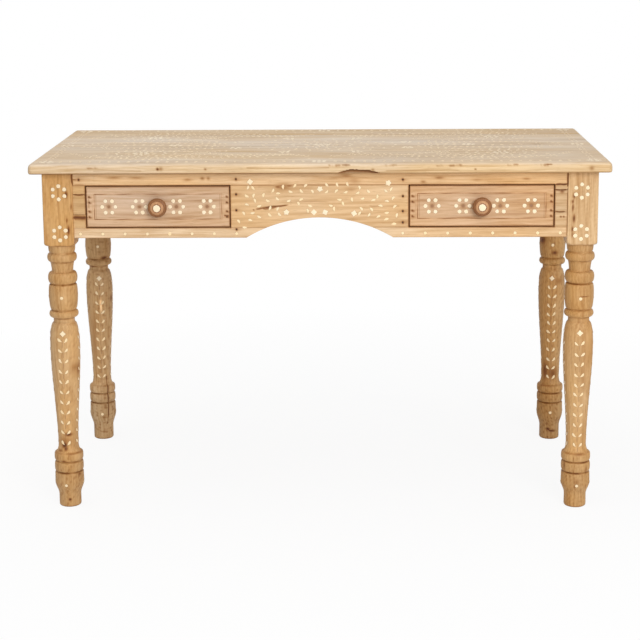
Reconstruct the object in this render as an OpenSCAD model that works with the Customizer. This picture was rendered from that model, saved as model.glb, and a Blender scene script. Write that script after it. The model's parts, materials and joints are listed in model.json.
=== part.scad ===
// Writing desk with two drawers, turned legs and bone inlay.
// All sizes are in millimetres. X runs to the right, Y to the back and Z up.
// The origin is on the floor, under the middle of the top.

/* [Overall] */
// Width of the top, end to end
top_w = 1220; // [1100:5:1600]
// Depth of the top, front to back
top_d = 610; // [520:5:800]
// Height of the desk over the floor
desk_h = 762; // [700:1:840]

/* [Top] */
// Thickness of the top boards
top_t = 22; // [19:0.5:36]
// How far the top stands out past the legs at the ends
overhang_x = 25; // [8:1:60]
// How far the top stands out past the legs at the front and back
overhang_y = 25; // [8:1:60]
// Radius of the top's upper edge
edge_r_upper = 9; // [4:0.5:11]
// Radius of the top's lower edge
edge_r_lower = 4; // [1:0.5:6]
// Radius of the top's corners, seen from above
corner_r = 10; // [2:0.5:30]
// Seam between two top boards
board_seam = 0.3; // [0.1:0.1:0.8]
// Middle of the chipped stretch under the front edge, right of the desk's middle
chip_x = 84; // [-300:1:300]
// Length of the chipped stretch
chip_l = 92; // [40:1:160]
// Height of the chipped stretch
chip_h = 6.5; // [2:0.5:10]

/* [Legs] */
// Side of the square leg blank
leg_w = 64; // [54:1:84]
// How far the leg's square block reaches below the rails
block_drop = 17; // [6:1:60]
// How far the block's lower corners are turned up
pommel_rise = 8; // [2:0.5:14]
// Height of the foot below the lower ring
foot_h = 77; // [50:1:100]
// Height of the lower ring
ring_low_h = 20; // [14:1:40]
// Height of the upper ring
ring_high_h = 17; // [10:1:30]
// Width of the groove between two rings of the foot
ring_groove_w = 4; // [2:0.5:6]
// Height of the flare over the rings
flare_h = 18; // [12:1:50]
// Height of the round shoulder at the top of the taper
shoulder_h = 51; // [25:1:80]
// Height of the narrow neck over the taper
neck_h = 12; // [6:1:20]
// Height of the bead under the barrel
bead_low_h = 15; // [10:1:26]
// Height of the barrel
barrel_h = 55; // [36:1:80]
// Height of the bead over the barrel
bead_mid_h = 25; // [14:1:34]
// Height of the plain cove
cove_h = 23; // [12:1:40]
// Height of the bead over the cove
bead_high_h = 18; // [10:1:26]
// Height of the cup under the block
cup_h = 17; // [10:1:26]
// Width of the groove beside a bead
bead_groove_w = 2; // [1:0.5:3]
// How much thinner the turned rings are than the blank, on the radius
ring_in = 0.5; // [0:0.1:2]
// How deep the grooves lie below the blank
groove_in = 6; // [2.5:0.1:7]
// How deep the neck and the cove lie below the blank
neck_in = 9.3; // [5:0.1:11]
// How deep the waist of the taper lies below the blank
waist_in = 10.2; // [4:0.1:12]
// How deep the ankle of the foot lies below the blank
ankle_in = 8; // [4:0.1:12]
// Share of the foot's height that is the straight ankle
ankle_share = 0.35; // [0.15:0.05:0.45]
// Share of the foot's height over which the ankle swells out
foot_swell_share = 0.36; // [0.2:0.02:0.5]
// Round of the foot at the floor
toe_r = 4; // [1:0.5:5]
// How much the rings of the foot bulge
ring_bulge = 1.5; // [0.5:0.1:3]
// How far the top of the cup lies inside the block's faces
cup_in = 3.2; // [0.5:0.1:5]
// How much higher the rear legs are turned, on a longer foot
rear_lift = 15; // [0:1:20]

/* [Frame] */
// Height of the frame, from the top's underside to the rails' lower edge
apron_h = 140; // [125:1:170]
// Height of the rail over the drawers
top_rail_h = 28; // [20:1:36]
// Height of the rail under the drawers
bottom_rail_h = 22; // [18:1:32]
// Thickness of the front rails and the centre panel
rail_t = 22; // [16:0.5:28]
// Thickness of the back and side aprons
apron_t = 20; // [16:0.5:26]
// How far the rails and aprons lie back from the legs' outer faces
setback = 3; // [0.5:0.5:8]
// Thickness of a tenon
tenon_t = 10; // [6:0.5:12]
// Length of a tenon
tenon_l = 25; // [15:1:30]
// How much lower a tenon is than its rail, above and below
tenon_shoulder = 3; // [2:0.5:6]
// Room round a tenon in its mortise
tenon_gap = 0.1; // [0.05:0.05:0.3]
// Room past a tenon's end
tenon_end_gap = 1; // [0.5:0.5:3]
// Width of the stacked blocks between a leg and its drawer
end_block_w = 27; // [15:1:50]
// Seam between two stacked blocks
end_block_seam = 0.4; // [0.1:0.1:0.8]
// Height of the knee arch
arch_h = 43; // [25:1:60]
// Straight length of rail between a drawer's edge and the arch
arch_inset = 33; // [28:1:60]
// Thickness of the dividers beside the centre panel
divider_t = 25; // [16:1:30]

/* [Drawer run] */
// Thickness of the runners
runner_t = 20; // [14:1:24]
// How far the runners reach under the drawer
runner_reach = 30; // [20:1:50]
// Height of the guides on the outer runners
guide_h = 28; // [15:1:50]
// Width of the batten under the middle of the top
batten_w = 60; // [40:1:90]
// Thickness of the batten
batten_t = 20; // [14:1:28]
// Room between a drawer and its runners
run_gap = 0.3; // [0.2:0.1:1]
// Length of a drawer stop
stop_l = 30; // [15:1:50]
// Height of a drawer stop
stop_h = 20; // [10:1:30]
// Width of a drawer stop
stop_w = 20; // [10:1:24]

/* [Drawers] */
// Width of a drawer's opening
drawer_open_w = 306; // [260:1:330]
// Gap round a drawer front
front_gap = 1.5; // [0.5:0.1:3]
// Thickness of a drawer front
front_t = 20; // [16:0.5:24]
// Thickness of a drawer's sides and back
side_t = 12; // [10:0.5:16]
// How much lower a drawer's sides are than its opening
side_low = 12; // [6:1:25]
// Thickness of a drawer's bottom panel
bottom_t = 6; // [4:0.5:9]
// Height of the bottom panel over the lower edge of the sides
bottom_up = 8; // [6:0.5:14]
// Depth of the grooves that hold the bottom panel
groove_d = 6; // [4:0.5:7]
// Room round the bottom panel in its grooves
panel_gap = 0.2; // [0.1:0.1:0.5]
// How much lower the drawer's back is than its sides
back_low = 6; // [2:1:15]
// Space left behind a closed drawer
drawer_space = 94; // [60:1:140]
// Width of the scratched line round a drawer front
line_w = 1.4; // [0.8:0.1:3]
// Depth of the scratched line
line_d = 1; // [0.5:0.1:2]
// Distance of the scratched line from the drawer front's edge
line_in = 16; // [10:1:22]

/* [Knobs] */
// Diameter of a knob
knob_d = 41; // [30:1:50]
// Length of a knob in front of its drawer
knob_l = 25; // [20:0.5:26]
// Diameter of the knob's stem
stem_d = 20; // [14:1:26]
// How far the knobs sit below the middle of a drawer front
knob_low = 0; // [0:0.5:8]
// Length of the hollow neck between the stem and the knob's rim
knob_neck_l = 9; // [6:0.5:11]
// Diameter of the bone button in a knob
button_d = 15; // [8:0.5:18]
// Thickness of the bone button
button_t = 2.5; // [1.5:0.5:4]
// Diameter of the screw that holds a knob
screw_d = 4; // [3:0.5:5]
// Diameter of a screw head
screw_head_d = 8; // [6:0.5:10]
// Length of the screw inside a knob
screw_grip = 12; // [8:0.5:15]
// Height of a screw's head
screw_head_t = 3; // [2:0.5:4]

/* [Fasteners] */
// How far the screws reach into the top
screw_bite = 12; // [8:1:15]
// Distance of the outer screws from the front rails and the back apron
screw_in = 30; // [15:1:60]
// Room round a screw or a nail
hole_gap = 0.1; // [0.05:0.05:0.3]
// Diameter of a frame nail
nail_d = 2.6; // [2:0.1:4]
// Diameter of a frame nail's head
nail_head_d = 5; // [4:0.1:7]
// Length of a frame nail
nail_l = 50; // [40:1:70]
// Diameter of a drawer nail
brad_d = 1.8; // [1.4:0.1:2.4]
// Diameter of a drawer nail's head
brad_head_d = 3.2; // [2.6:0.1:4.2]
// Length of a drawer nail
brad_l = 42; // [32:1:50]
// Height of a nail's head
nail_head_t = 1.2; // [0.6:0.1:2]

/* [Inlay] */
// Thickness of a piece of bone
bone_t = 1.6; // [1:0.1:2.5]
// How far the bone stands proud of the wood
bone_proud = 0.15; // [0.05:0.05:0.4]
// Room round a piece of bone in its pocket
bone_gap = 0.05; // [0.05:0.01:0.1]
// Diameter of a flower's petals
petal_d = 8; // [5:0.1:9]
// Radius of the ring of petals
petal_ring_r = 14; // [11:0.1:15]
// Diameter of the dots on the rails
dot_d = 7; // [4:0.1:8]
// Middle distance of the dots on the rails
dot_pitch = 47.3; // [30:0.1:70]
// Half length of a leaf
leaf_a = 5; // [3:0.1:6]
// Half width of a leaf
leaf_b = 2.1; // [1.2:0.1:2.4]
// Side of the squares that make a star
star_w = 8.4; // [6:0.1:10]
// Distance of the legs' upper flower below the top's underside
flower_drop = 42; // [25:1:60]
// Height of the legs' lower flower over the block's lower end
flower_up = 27; // [22:1:45]
// How far the legs' flowers sit from the block's middle, towards the drawers
flower_off = 3; // [0:0.5:6]
// Distance of a drawer's outer flowers from the ends of its front
flower_edge = 47.5; // [36:0.5:60]
// Distance of a drawer's inner flowers from the rim of its knob
flower_knob = 19; // [18:0.5:30]

/* [Hidden] */
$fn = 48;
// What a cut reaches past the face that it opens
over = 1;

// Colours, as the desk shows them
top_wood = "#CDB99A";
frame_wood = "#D9B98A";
leg_wood = "#CFA56C";
drawer_wood = "#D3AE85";
inner_wood = "#C7A47A";
knob_wood = "#A97C50";
bone_colour = "#FBF1DC";
steel_colour = "#6E655C";

// Heights
z_top = desk_h - top_t;
z_rail = z_top - apron_h;
z_block = z_rail - block_drop;
z_open = z_rail + bottom_rail_h;
z_close = z_top - top_rail_h;
z_front_mid = (z_open + z_close) / 2;

// Plan of the frame
leg_r = leg_w / 2;
leg_x = top_w / 2 - overhang_x - leg_r;
leg_y = top_d / 2 - overhang_y - leg_r;
inner_x = leg_x - leg_r;
inner_y = leg_y - leg_r;
face_y = -(leg_y + leg_r - setback);
rail_back_y = face_y + rail_t;
apron_front_y = -face_y - apron_t;
apron_out_x = leg_x + leg_r - setback;
block_x = inner_x - end_block_w;
panel_half = block_x - drawer_open_w;
open_h = z_close - z_open;
drawer_mid_x = (block_x + panel_half) / 2;

// The top's boards, as shares of its depth from the front to the back
board_shares = [0.30, 0.17, 0.145, 0.19, 0.195];

// The knee arch is part of a circle through the two feet of the arch
arch_half = panel_half - arch_inset;
arch_r = (pow(arch_half, 2) + pow(arch_h, 2)) / (2 * arch_h);
arch_z = z_rail + arch_h - arch_r;

// Drawers
front_w = drawer_open_w - 2 * front_gap;
front_h = open_h - 2 * front_gap;
front_back_y = face_y + front_t;
drawer_end_y = apron_front_y - drawer_space;
side_z = z_open + run_gap;
side_h = open_h - side_low;
panel_z = side_z + bottom_up;
knob_r = knob_d / 2;
knob_z = z_front_mid - knob_low;
brad_up = [-22, -10, 9, 21];

// Frame nails, driven by hand and so at uneven heights over the rails' lower edge
nails_left = [bottom_rail_h - 4, bottom_rail_h + 37, bottom_rail_h + 71, apron_h - 15];
nails_right = [bottom_rail_h + 10, bottom_rail_h + 34, bottom_rail_h + 66, apron_h - 17];
nail_x = panel_half - divider_t / 2;
corner_nail_x = -(block_x + end_block_w / 2);

// Leg turning, from the floor up and from the block down. A step is the turner's smallest ledge
step = 0.5;
ring_r = leg_r - ring_in;
groove_r = leg_r - groove_in;
neck_r = leg_r - neck_in;
waist_r = leg_r - waist_in;
ankle_r = leg_r - ankle_in;
cup_r = leg_r - cup_in;
z_ring_low = foot_h + ring_groove_w;
z_ring_high = z_ring_low + ring_low_h + ring_groove_w;
z_flare = z_ring_high + ring_high_h;
z_waist = z_flare + flare_h;
z_cup = z_block - cup_h;
z_bead_high = z_cup - bead_groove_w - bead_high_h;
z_cove = z_bead_high - cove_h;
z_bead_mid = z_cove - bead_mid_h;
z_barrel = z_bead_mid - bead_groove_w - barrel_h;
z_bead_low = z_barrel - bead_groove_w - bead_low_h;
z_neck = z_bead_low - neck_h;
z_shoulder = z_neck - shoulder_h;
// Shares of a raised turning that the cove and the cup give up
cove_share = 0.6;
cup_share = 1 - cove_share;

// The rails' dots sit a little below the middle of the rail
dot_share = 0.4;

// Stars of the centre panel, as shares of its half width and of its height
panel_stars = [
    [-0.776, 1.083], [0.006, 0.91], [0.771, 1.047], [-0.371, 0.36],
    [-0.063, 0.359], [0.063, 0.358], [0.387, 0.329]];
// Leaves of the centre panel, in the same shares, with each leaf's lean in degrees
panel_leaves = [
    [-0.803, 0.948, 73], [-0.74, 0.942, -55], [-0.813, 0.751, -35], [-0.735, 0.753, 72],
    [-0.624, 0.763, 75], [-0.726, 0.634, -73], [-0.814, 0.539, -9], [-0.676, 0.516, 17],
    [-0.577, 0.64, -25], [-0.468, 0.681, -39], [-0.523, 0.876, 59], [-0.461, 0.801, 0],
    [-0.403, 0.96, 87], [-0.322, 0.852, -19], [-0.278, 0.992, 50], [-0.199, 0.862, -47],
    [-0.154, 0.984, 46], [-0.08, 0.847, -55], [-0.343, 0.638, 30], [-0.237, 0.561, -71],
    [-0.202, 0.657, 22], [-0.104, 0.516, -21], [-0.135, 0.389, -76], [-0.556, 0.471, 73],
    [-0.466, 0.44, 58], [-0.447, 0.312, -40], [-0.557, 0.301, -47], [-0.675, 0.256, -25],
    [-0.75, 0.35, 13], [-0.853, 0.333, -61], [-0.778, 0.169, -16], [-0.91, 0.142, -56],
    [-0.842, 0.008, 2], [0.086, 1.009, -47], [0.078, 0.842, 36], [0.202, 1.011, -64], [0.19, 0.852, 47],
    [0.317, 1.022, -67], [0.292, 0.836, 22], [0.446, 0.938, -74], [0.426, 0.818, 25],
    [0.55, 0.856, -44], [0.644, 0.724, 79], [0.603, 0.636, 17], [0.48, 0.684, 15], [0.367, 0.659, -83],
    [0.224, 0.661, -13], [0.268, 0.561, -71], [0.126, 0.523, -21], [0.166, 0.437, -87],
    [0.466, 0.438, -42], [0.579, 0.422, -50], [0.552, 0.294, 57], [0.66, 0.247, 30],
    [0.682, 0.503, -11], [0.754, 0.613, -4], [0.751, 0.346, 3], [0.748, 0.181, 16], [0.826, 0.684, 55],
    [0.743, 0.867, -38], [0.804, 0.894, 66], [0.843, 0.483, 46], [0.869, 0.278, 80], [0.833, 0.07, 1],
    [0.45, 0.322, 60]];

// Flowers on a drawer front, from its middle
flower_outer = front_w / 2 - flower_edge;
flower_inner = knob_r + flower_knob;
drawer_flowers = [-flower_outer, -flower_inner, flower_inner, flower_outer];

// Small helpers

// A bulge between two radii: outward when out is over 0, and a hollow when it is under 0
function swell(z0, h, r0, r1, out, n = 8) = [for (i = [0:n])
    let (a = 180 * i / n, t = (1 - cos(a)) / 2) [r0 + (r1 - r0) * t + out * sin(a), z0 + h * t]];

// A soft S from one radius to the other
function ease(z0, h, r0, r1, n = 12) = [for (i = [0:n])
    let (t = i / n) [r0 + (r1 - r0) * t * t * (3 - 2 * t), z0 + h * t]];

// A quarter round that leaves the axis's direction at its lower end
function shoulder(z0, h, r0, r1, n = 6) = [for (i = [0:n])
    let (a = 90 * i / n) [r1 + (r0 - r1) * cos(a), z0 + h * sin(a)]];

// A quarter hollow that joins the axis's direction at its upper end
function flare(z0, h, r0, r1, n = 6) = [for (i = [0:n])
    let (a = 90 * i / n) [r1 + (r0 - r1) * (1 - sin(a)), z0 + h * (1 - cos(a))]];

// A place on the centre panel, from its shares
function panel_place(p) = [p[0] * panel_half, z_open + p[1] * (z_close - z_open)];

function sum_to(list, k) = k <= 0 ? 0 : list[k - 1] + sum_to(list, k - 1);

// Outline of half a leg's turned part, from the floor to a step inside the block. A lift raises the turning
// up to the bead over the barrel. The foot takes it up below, and the cove and the cup above
function leg_outline(lift) = concat(
    [[0, 0]],
    toe(),
    ease((foot_h + lift) * ankle_share, (foot_h + lift) * foot_swell_share, ankle_r, ring_r, 10),
    [[ring_r - step, foot_h + lift], [groove_r + step, foot_h + lift + ring_groove_w / 2]],
    swell(z_ring_low + lift, ring_low_h, ring_r - ring_bulge, ring_r - ring_bulge, ring_bulge),
    [[groove_r + step, z_ring_high + lift - ring_groove_w / 2]],
    swell(z_ring_high + lift, ring_high_h, ring_r - ring_bulge, ring_r - ring_bulge, ring_bulge),
    flare(z_flare + lift + step, flare_h, ring_r - ring_bulge - step, waist_r),
    ease(z_waist + lift + 2 * step, z_shoulder - z_waist - 2 * step, waist_r, leg_r, 16),
    shoulder(z_shoulder + lift, shoulder_h, leg_r, neck_r + 2 * step, 8),
    [[neck_r, z_neck + lift + neck_h * 0.2], [neck_r, z_neck + lift + neck_h * 0.8]],
    swell(z_bead_low + lift, bead_low_h, groove_r, groove_r, ring_r - groove_r),
    [[groove_r - step, z_barrel + lift - bead_groove_w / 2]],
    swell(z_barrel + lift, barrel_h, ring_r - 2 * ring_bulge, ring_r - 2 * ring_bulge, 2 * ring_bulge, 14),
    [[groove_r - step, z_bead_mid + lift - bead_groove_w / 2]],
    swell(z_bead_mid + lift, bead_mid_h, groove_r, groove_r, ring_r - groove_r, 10),
    swell(z_cove + lift + step, cove_h - lift * cove_share - 2 * step, neck_r + step, groove_r, -2 * step),
    swell(z_bead_high + lift * cup_share, bead_high_h, groove_r + step, groove_r + step,
        ring_r - groove_r - step),
    [[groove_r, z_cup + lift * cup_share - bead_groove_w / 2]],
    cup_outline(cup_h - lift * cup_share),
    [[cup_r, z_block + step], [0, z_block + step]]);

function toe() = [for (i = [0:4])
    let (a = 90 * i / 4) [ankle_r - toe_r * (1 - sin(a)), toe_r * (1 - cos(a))]];

function cup_outline(h) = [for (i = [0:6])
    let (a = 90 * i / 6) [groove_r + step + (cup_r - groove_r - step) * sin(a), z_block - h * cos(a)]];

// Solid shapes that several parts share

// A piece stretched along X from its profile in the YZ plane, and one along Y from the XZ plane
module along_x(l) {
    rotate([90, 0, 90])
        linear_extrude(l, center = true)
            children();
}

module along_y(l) {
    rotate([90, 0, 0])
        linear_extrude(l, center = true)
            children();
}

// A block from one corner to the other
module span(lo, hi) {
    translate(lo)
        cube(hi - lo);
}

// Outline of the top's edge: full width w, upper and lower edges rounded
module edge_outline(w) {
    inner = w - 2 * max(edge_r_upper, edge_r_lower);
    translate([-inner / 2, 0])
        square([inner, top_t]);
    translate([-w / 2 + edge_r_lower, 0])
        square([w - 2 * edge_r_lower, top_t - edge_r_upper]);
    translate([-w / 2, edge_r_lower])
        square([w, top_t - edge_r_upper - edge_r_lower]);
    for (side = [-1, 1]) {
        translate([side * (w / 2 - edge_r_upper), top_t - edge_r_upper])
            circle(edge_r_upper);
        translate([side * (w / 2 - edge_r_lower), edge_r_lower])
            circle(edge_r_lower);
    }
}

// Outline of the top, seen from above
module top_outline() {
    square([top_w - 2 * corner_r, top_d], center = true);
    square([top_w, top_d - 2 * corner_r], center = true);
    for (sx = [-1, 1], sy = [-1, 1])
        translate([sx * (top_w / 2 - corner_r), sy * (top_d / 2 - corner_r)])
            circle(corner_r);
}

// A cylinder that runs into the desk from a front face, as screws, nails and bone pieces do
module front_pin(x, z, y, d, l) {
    translate([x, y, z])
        rotate([-90, 0, 0])
            cylinder(h = l, d = d);
}

// One flower's petals in the XZ plane, around the origin
module petals(d, turn = 0) {
    for (i = [0:5])
        rotate(i * 60 + turn)
            translate([petal_ring_r, 0])
                circle(d = d);
}

// Flat bone outlines in the XZ plane, grown by the gap where a pocket is cut
module leaf(grow) {
    bow = (pow(leaf_a, 2) + pow(leaf_b, 2)) / (2 * leaf_b);
    intersection_for (side = [-1, 1])
        translate([0, side * (bow - leaf_b)])
            circle(bow + grow);
}

module star(grow) {
    for (turn = [0, 45])
        rotate(turn)
            square(star_w + 2 * grow, center = true);
}

// Stretches a flat outline in the XZ plane into bone let into a front face at y
module bone_sheet(y) {
    translate([0, y - bone_proud, 0])
        rotate([90, 0, 0])
            translate([0, 0, -bone_t])
                linear_extrude(bone_t)
                    children();
}

// The pocket for the same outline
module bone_pocket(y) {
    translate([0, y - over, 0])
        rotate([90, 0, 0])
            translate([0, 0, -(bone_t - bone_proud + over)])
                linear_extrude(bone_t - bone_proud + over)
                    children();
}

// Legs

module leg_flowers(side, d) {
    for (z = [z_top - flower_drop, z_block + flower_up])
        translate([-side * flower_off, z])
            petals(d, 30);
}

// Tenons that run into a leg from its two inner faces, grown by the gap where mortises are cut
module front_tenons(grow, end) {
    mid_y = face_y + rail_t / 2;
    for (band = [[z_rail, z_open], [z_close, z_top]])
        for (side = [-1, 1])
            span([side * (inner_x + (tenon_l + end - over) / 2) - (tenon_l + end + over) / 2,
                    mid_y - tenon_t / 2 - grow, band[0] + tenon_shoulder - grow],
                [side * (inner_x + (tenon_l + end - over) / 2) + (tenon_l + end + over) / 2,
                    mid_y + tenon_t / 2 + grow, band[1] - tenon_shoulder + grow]);
}

module back_tenons(grow, end) {
    mid_y = -face_y - apron_t / 2;
    for (side = [-1, 1])
        span([side * (inner_x + (tenon_l + end - over) / 2) - (tenon_l + end + over) / 2,
                mid_y - tenon_t / 2 - grow, z_rail + tenon_shoulder - grow],
            [side * (inner_x + (tenon_l + end - over) / 2) + (tenon_l + end + over) / 2,
                mid_y + tenon_t / 2 + grow, z_top - tenon_shoulder + grow]);
}

module side_tenons(side, grow, end) {
    mid_x = side * (apron_out_x - apron_t / 2);
    for (way = [-1, 1])
        span([mid_x - tenon_t / 2 - grow,
                way * (inner_y + (tenon_l + end - over) / 2) - (tenon_l + end + over) / 2,
                z_rail + tenon_shoulder - grow],
            [mid_x + tenon_t / 2 + grow,
                way * (inner_y + (tenon_l + end - over) / 2) + (tenon_l + end + over) / 2,
                z_top - tenon_shoulder + grow]);
}

module leg_block() {
    corner = leg_r * sqrt(2) + over;
    intersection() {
        translate([-leg_r, -leg_r, z_block])
            cube([leg_w, leg_w, z_top - z_block]);
        rotate_extrude()
            polygon([[0, z_block], [corner - pommel_rise, z_block], [corner, z_block + pommel_rise],
                [corner, z_top], [0, z_top]]);
    }
}

// A leg stands at side, -1 left or 1 right, and at way, -1 front or 1 back
module leg(side, way) {
    color(leg_wood)
        difference() {
            translate([side * leg_x, way * leg_y, 0]) {
                rotate_extrude()
                    polygon(leg_outline(way < 0 ? 0 : rear_lift));
                leg_block();
            }
            if (way < 0) {
                front_tenons(tenon_gap, tenon_end_gap);
                translate([side * leg_x, 0, 0])
                    bone_pocket(-leg_y - leg_r)
                        leg_flowers(side, petal_d + 2 * bone_gap);
            } else {
                back_tenons(tenon_gap, tenon_end_gap);
            }
            side_tenons(side, tenon_gap, tenon_end_gap);
        }
}

module leg_inlay() {
    color(bone_colour)
        for (side = [-1, 1])
            translate([side * leg_x, 0, 0])
                bone_sheet(-leg_y - leg_r)
                    leg_flowers(side, petal_d);
}

// Frame

module arch_cut() {
    translate([0, 0, arch_z])
        rotate([90, 0, 0])
            cylinder(h = top_d, r = arch_r, center = true, $fn = 160);
}

module frame_nail_holes() {
    for (side = [-1, 1])
        for (up = side < 0 ? nails_left : nails_right) {
            front_pin(side * nail_x, z_rail + up, face_y - over, nail_head_d + 2 * hole_gap,
                nail_head_t + over);
            front_pin(side * nail_x, z_rail + up, face_y, nail_d + 2 * hole_gap, nail_l);
        }
    front_pin(corner_nail_x, z_rail + nails_left[3], face_y - over, nail_head_d + 2 * hole_gap,
        nail_head_t + over);
    front_pin(corner_nail_x, z_rail + nails_left[3], face_y, nail_d + 2 * hole_gap, nail_l);
}

module frame_nail(x, up) {
    front_pin(x, z_rail + up, face_y, nail_head_d, nail_head_t);
    front_pin(x, z_rail + up, face_y, nail_d, nail_l);
}

module frame_nails() {
    color(steel_colour) {
        for (side = [-1, 1])
            for (up = side < 0 ? nails_left : nails_right)
                frame_nail(side * nail_x, up);
        frame_nail(corner_nail_x, nails_left[3]);
    }
}

module top_rail() {
    color(frame_wood)
        difference() {
            union() {
                span([-inner_x, face_y, z_close], [inner_x, rail_back_y, z_top]);
                intersection() {
                    front_tenons(0, 0);
                    span([-leg_x, face_y, z_close], [leg_x, rail_back_y, z_top]);
                }
            }
            frame_nail_holes();
            bone_pocket(face_y)
                panel_pattern(bone_gap);
        }
}

module bottom_rail(side) {
    color(frame_wood)
        difference() {
            union() {
                span([side < 0 ? -inner_x : 0, face_y, z_rail],
                    [side < 0 ? 0 : inner_x, rail_back_y, z_open]);
                intersection() {
                    front_tenons(0, 0);
                    span([side < 0 ? -leg_x : 0, face_y, z_rail],
                        [side < 0 ? 0 : leg_x, rail_back_y, z_open]);
                }
            }
            arch_cut();
            frame_nail_holes();
            bone_pocket(face_y) {
                rail_dots(side, dot_d + 2 * bone_gap);
                panel_pattern(bone_gap);
            }
        }
}

module rail_dots(side, d) {
    first = panel_half - divider_t / 2;
    last = inner_x - dot_d;
    count = floor((last - first) / dot_pitch);
    for (i = [0:count])
        translate([side * (first + i * dot_pitch), z_rail + bottom_rail_h * dot_share])
            circle(d = d);
}

module rail_inlay() {
    color(bone_colour)
        bone_sheet(face_y)
            for (side = [-1, 1])
                rail_dots(side, dot_d);
}

module centre_panel() {
    color(frame_wood)
        difference() {
            span([-panel_half, face_y, z_open], [panel_half, rail_back_y, z_close]);
            arch_cut();
            frame_nail_holes();
            bone_pocket(face_y)
                panel_pattern(bone_gap);
        }
}

// The stars and leaves of the centre panel. They run over the joints to the rails, as the desk was inlaid
// when it stood together
module panel_pattern(grow) {
    for (p = panel_stars)
        translate(panel_place(p))
            star(grow);
    for (p = panel_leaves)
        translate(panel_place(p))
            rotate(p[2])
                leaf(grow);
}

module panel_inlay() {
    color(bone_colour)
        bone_sheet(face_y)
            panel_pattern(0);
}

module end_blocks(side) {
    seams = (side < 0 ? [0, 0.31, 0.8, 1] : [0, 0.34, 0.87, 1]) * open_h;
    color(frame_wood)
        for (i = [0:2])
            span([side < 0 ? -inner_x : block_x, face_y, z_open + seams[i]
                    + (i > 0 ? end_block_seam : 0)],
                [side < 0 ? -block_x : inner_x, rail_back_y, z_open + seams[i + 1]]);
}

module back_apron() {
    color(frame_wood)
        union() {
            span([-inner_x, apron_front_y, z_rail], [inner_x, -face_y, z_top]);
            intersection() {
                back_tenons(0, 0);
                span([-leg_x, apron_front_y, z_rail], [leg_x, -face_y, z_top]);
            }
        }
}

module side_apron(side) {
    out = side * apron_out_x;
    inside = side * (apron_out_x - apron_t);
    color(frame_wood)
        union() {
            span([min(out, inside), -inner_y, z_rail], [max(out, inside), inner_y, z_top]);
            side_tenons(side, 0, 0);
        }
}

module divider(side) {
    color(inner_wood)
        difference() {
            span([side < 0 ? -panel_half : panel_half - divider_t, rail_back_y, z_rail],
                [side < 0 ? divider_t - panel_half : panel_half, apron_front_y, z_top]);
            frame_nail_holes();
        }
}

// Drawer run. A band of wood that runs from the front rails to the back apron

module run_band(side, x0, x1, z0, z1) {
    span([side < 0 ? -x1 : x0, rail_back_y, z0], [side < 0 ? -x0 : x1, apron_front_y, z1]);
}

module runner_outer(side) {
    color(inner_wood)
        run_band(side, block_x - runner_reach, inner_x, z_open - runner_t, z_open);
}

module runner_inner(side) {
    color(inner_wood)
        run_band(side, panel_half, panel_half + runner_reach, z_open - runner_t, z_open);
}

module guide(side) {
    color(inner_wood)
        run_band(side, block_x, inner_x, z_open, z_open + guide_h);
}

module kicker_outer(side) {
    color(inner_wood)
        difference() {
            run_band(side, block_x - runner_reach, inner_x, z_close, z_top);
            frame_nail_holes();
            top_screw_holes();
        }
}

module kicker_inner(side) {
    color(inner_wood)
        difference() {
            run_band(side, panel_half, panel_half + runner_reach, z_close, z_top);
            top_screw_holes();
        }
}

module drawer_stops() {
    color(inner_wood)
        for (side = [-1, 1])
            for (x = [panel_half + stop_w / 2, block_x - stop_w / 2])
                translate([side * x - stop_w / 2, drawer_end_y + run_gap, z_open])
                    cube([stop_w, stop_l, stop_h]);
}

module centre_batten() {
    color(inner_wood)
        difference() {
            span([-batten_w / 2, rail_back_y, z_top - batten_t], [batten_w / 2, apron_front_y, z_top]);
            top_screw_holes();
        }
}

// Places of the screws under the top, each with the height of its head
function screw_places() = concat(
    [for (side = [-1, 1], x = [panel_half + runner_reach / 2, block_x],
            y = [rail_back_y + screw_in, apron_front_y - screw_in])
        [side * x, y, z_close]],
    [for (k = [2:len(board_shares) - 1]) [0, (board_front(k) + board_front(k + 1)) / 2, z_top - batten_t]]);

// Front edge of board k, counted from 1
function board_front(k) = -top_d / 2 + top_d * sum_to(board_shares, k - 1);

module top_screw_holes() {
    for (p = screw_places()) {
        translate([p[0], p[1], p[2] - over])
            cylinder(h = screw_head_t + over, d = screw_head_d + 2 * hole_gap);
        translate(p)
            cylinder(h = z_top + screw_bite - p[2] + step, d = screw_d + 2 * hole_gap);
    }
}

module top_screws() {
    color(steel_colour)
        for (p = screw_places()) {
            translate(p)
                cylinder(h = screw_head_t, d = screw_head_d);
            translate(p)
                cylinder(h = z_top + screw_bite - p[2], d = screw_d);
        }
}

// Top

module top_blank() {
    intersection() {
        translate([0, 0, z_top])
            along_x(top_w)
                edge_outline(top_d);
        translate([0, 0, z_top])
            along_y(top_d)
                edge_outline(top_w);
        translate([0, 0, z_top])
            linear_extrude(top_t)
                top_outline();
    }
}

// The chipped stretch is cut by a cylinder that leans, so that the cut fades out inward
module chip_cut() {
    chip_r = (pow(chip_l / 2, 2) + pow(chip_h, 2)) / (2 * chip_h);
    lean = 28;
    translate([chip_x, -top_d / 2, z_top + chip_h])
        rotate([90 + lean, 0, 0])
            translate([0, -chip_r, 0])
                cylinder(h = 60, r = chip_r, center = true, $fn = 120);
}

module top_board(k) {
    last = len(board_shares);
    color(top_wood)
        difference() {
            intersection() {
                top_blank();
                span([-top_w / 2 - over, board_front(k) + (k > 1 ? board_seam / 2 : -over), z_top - over],
                    [top_w / 2 + over, board_front(k + 1) - (k < last ? board_seam / 2 : -over),
                        desk_h + over]);
            }
            top_screw_holes();
            if (k == 1)
                chip_cut();
        }
}

// Drawers. Each stands at side, -1 left or 1 right

module drawer_flowers(d) {
    for (x = drawer_flowers)
        translate([x, z_front_mid])
            petals(d);
}

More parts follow.
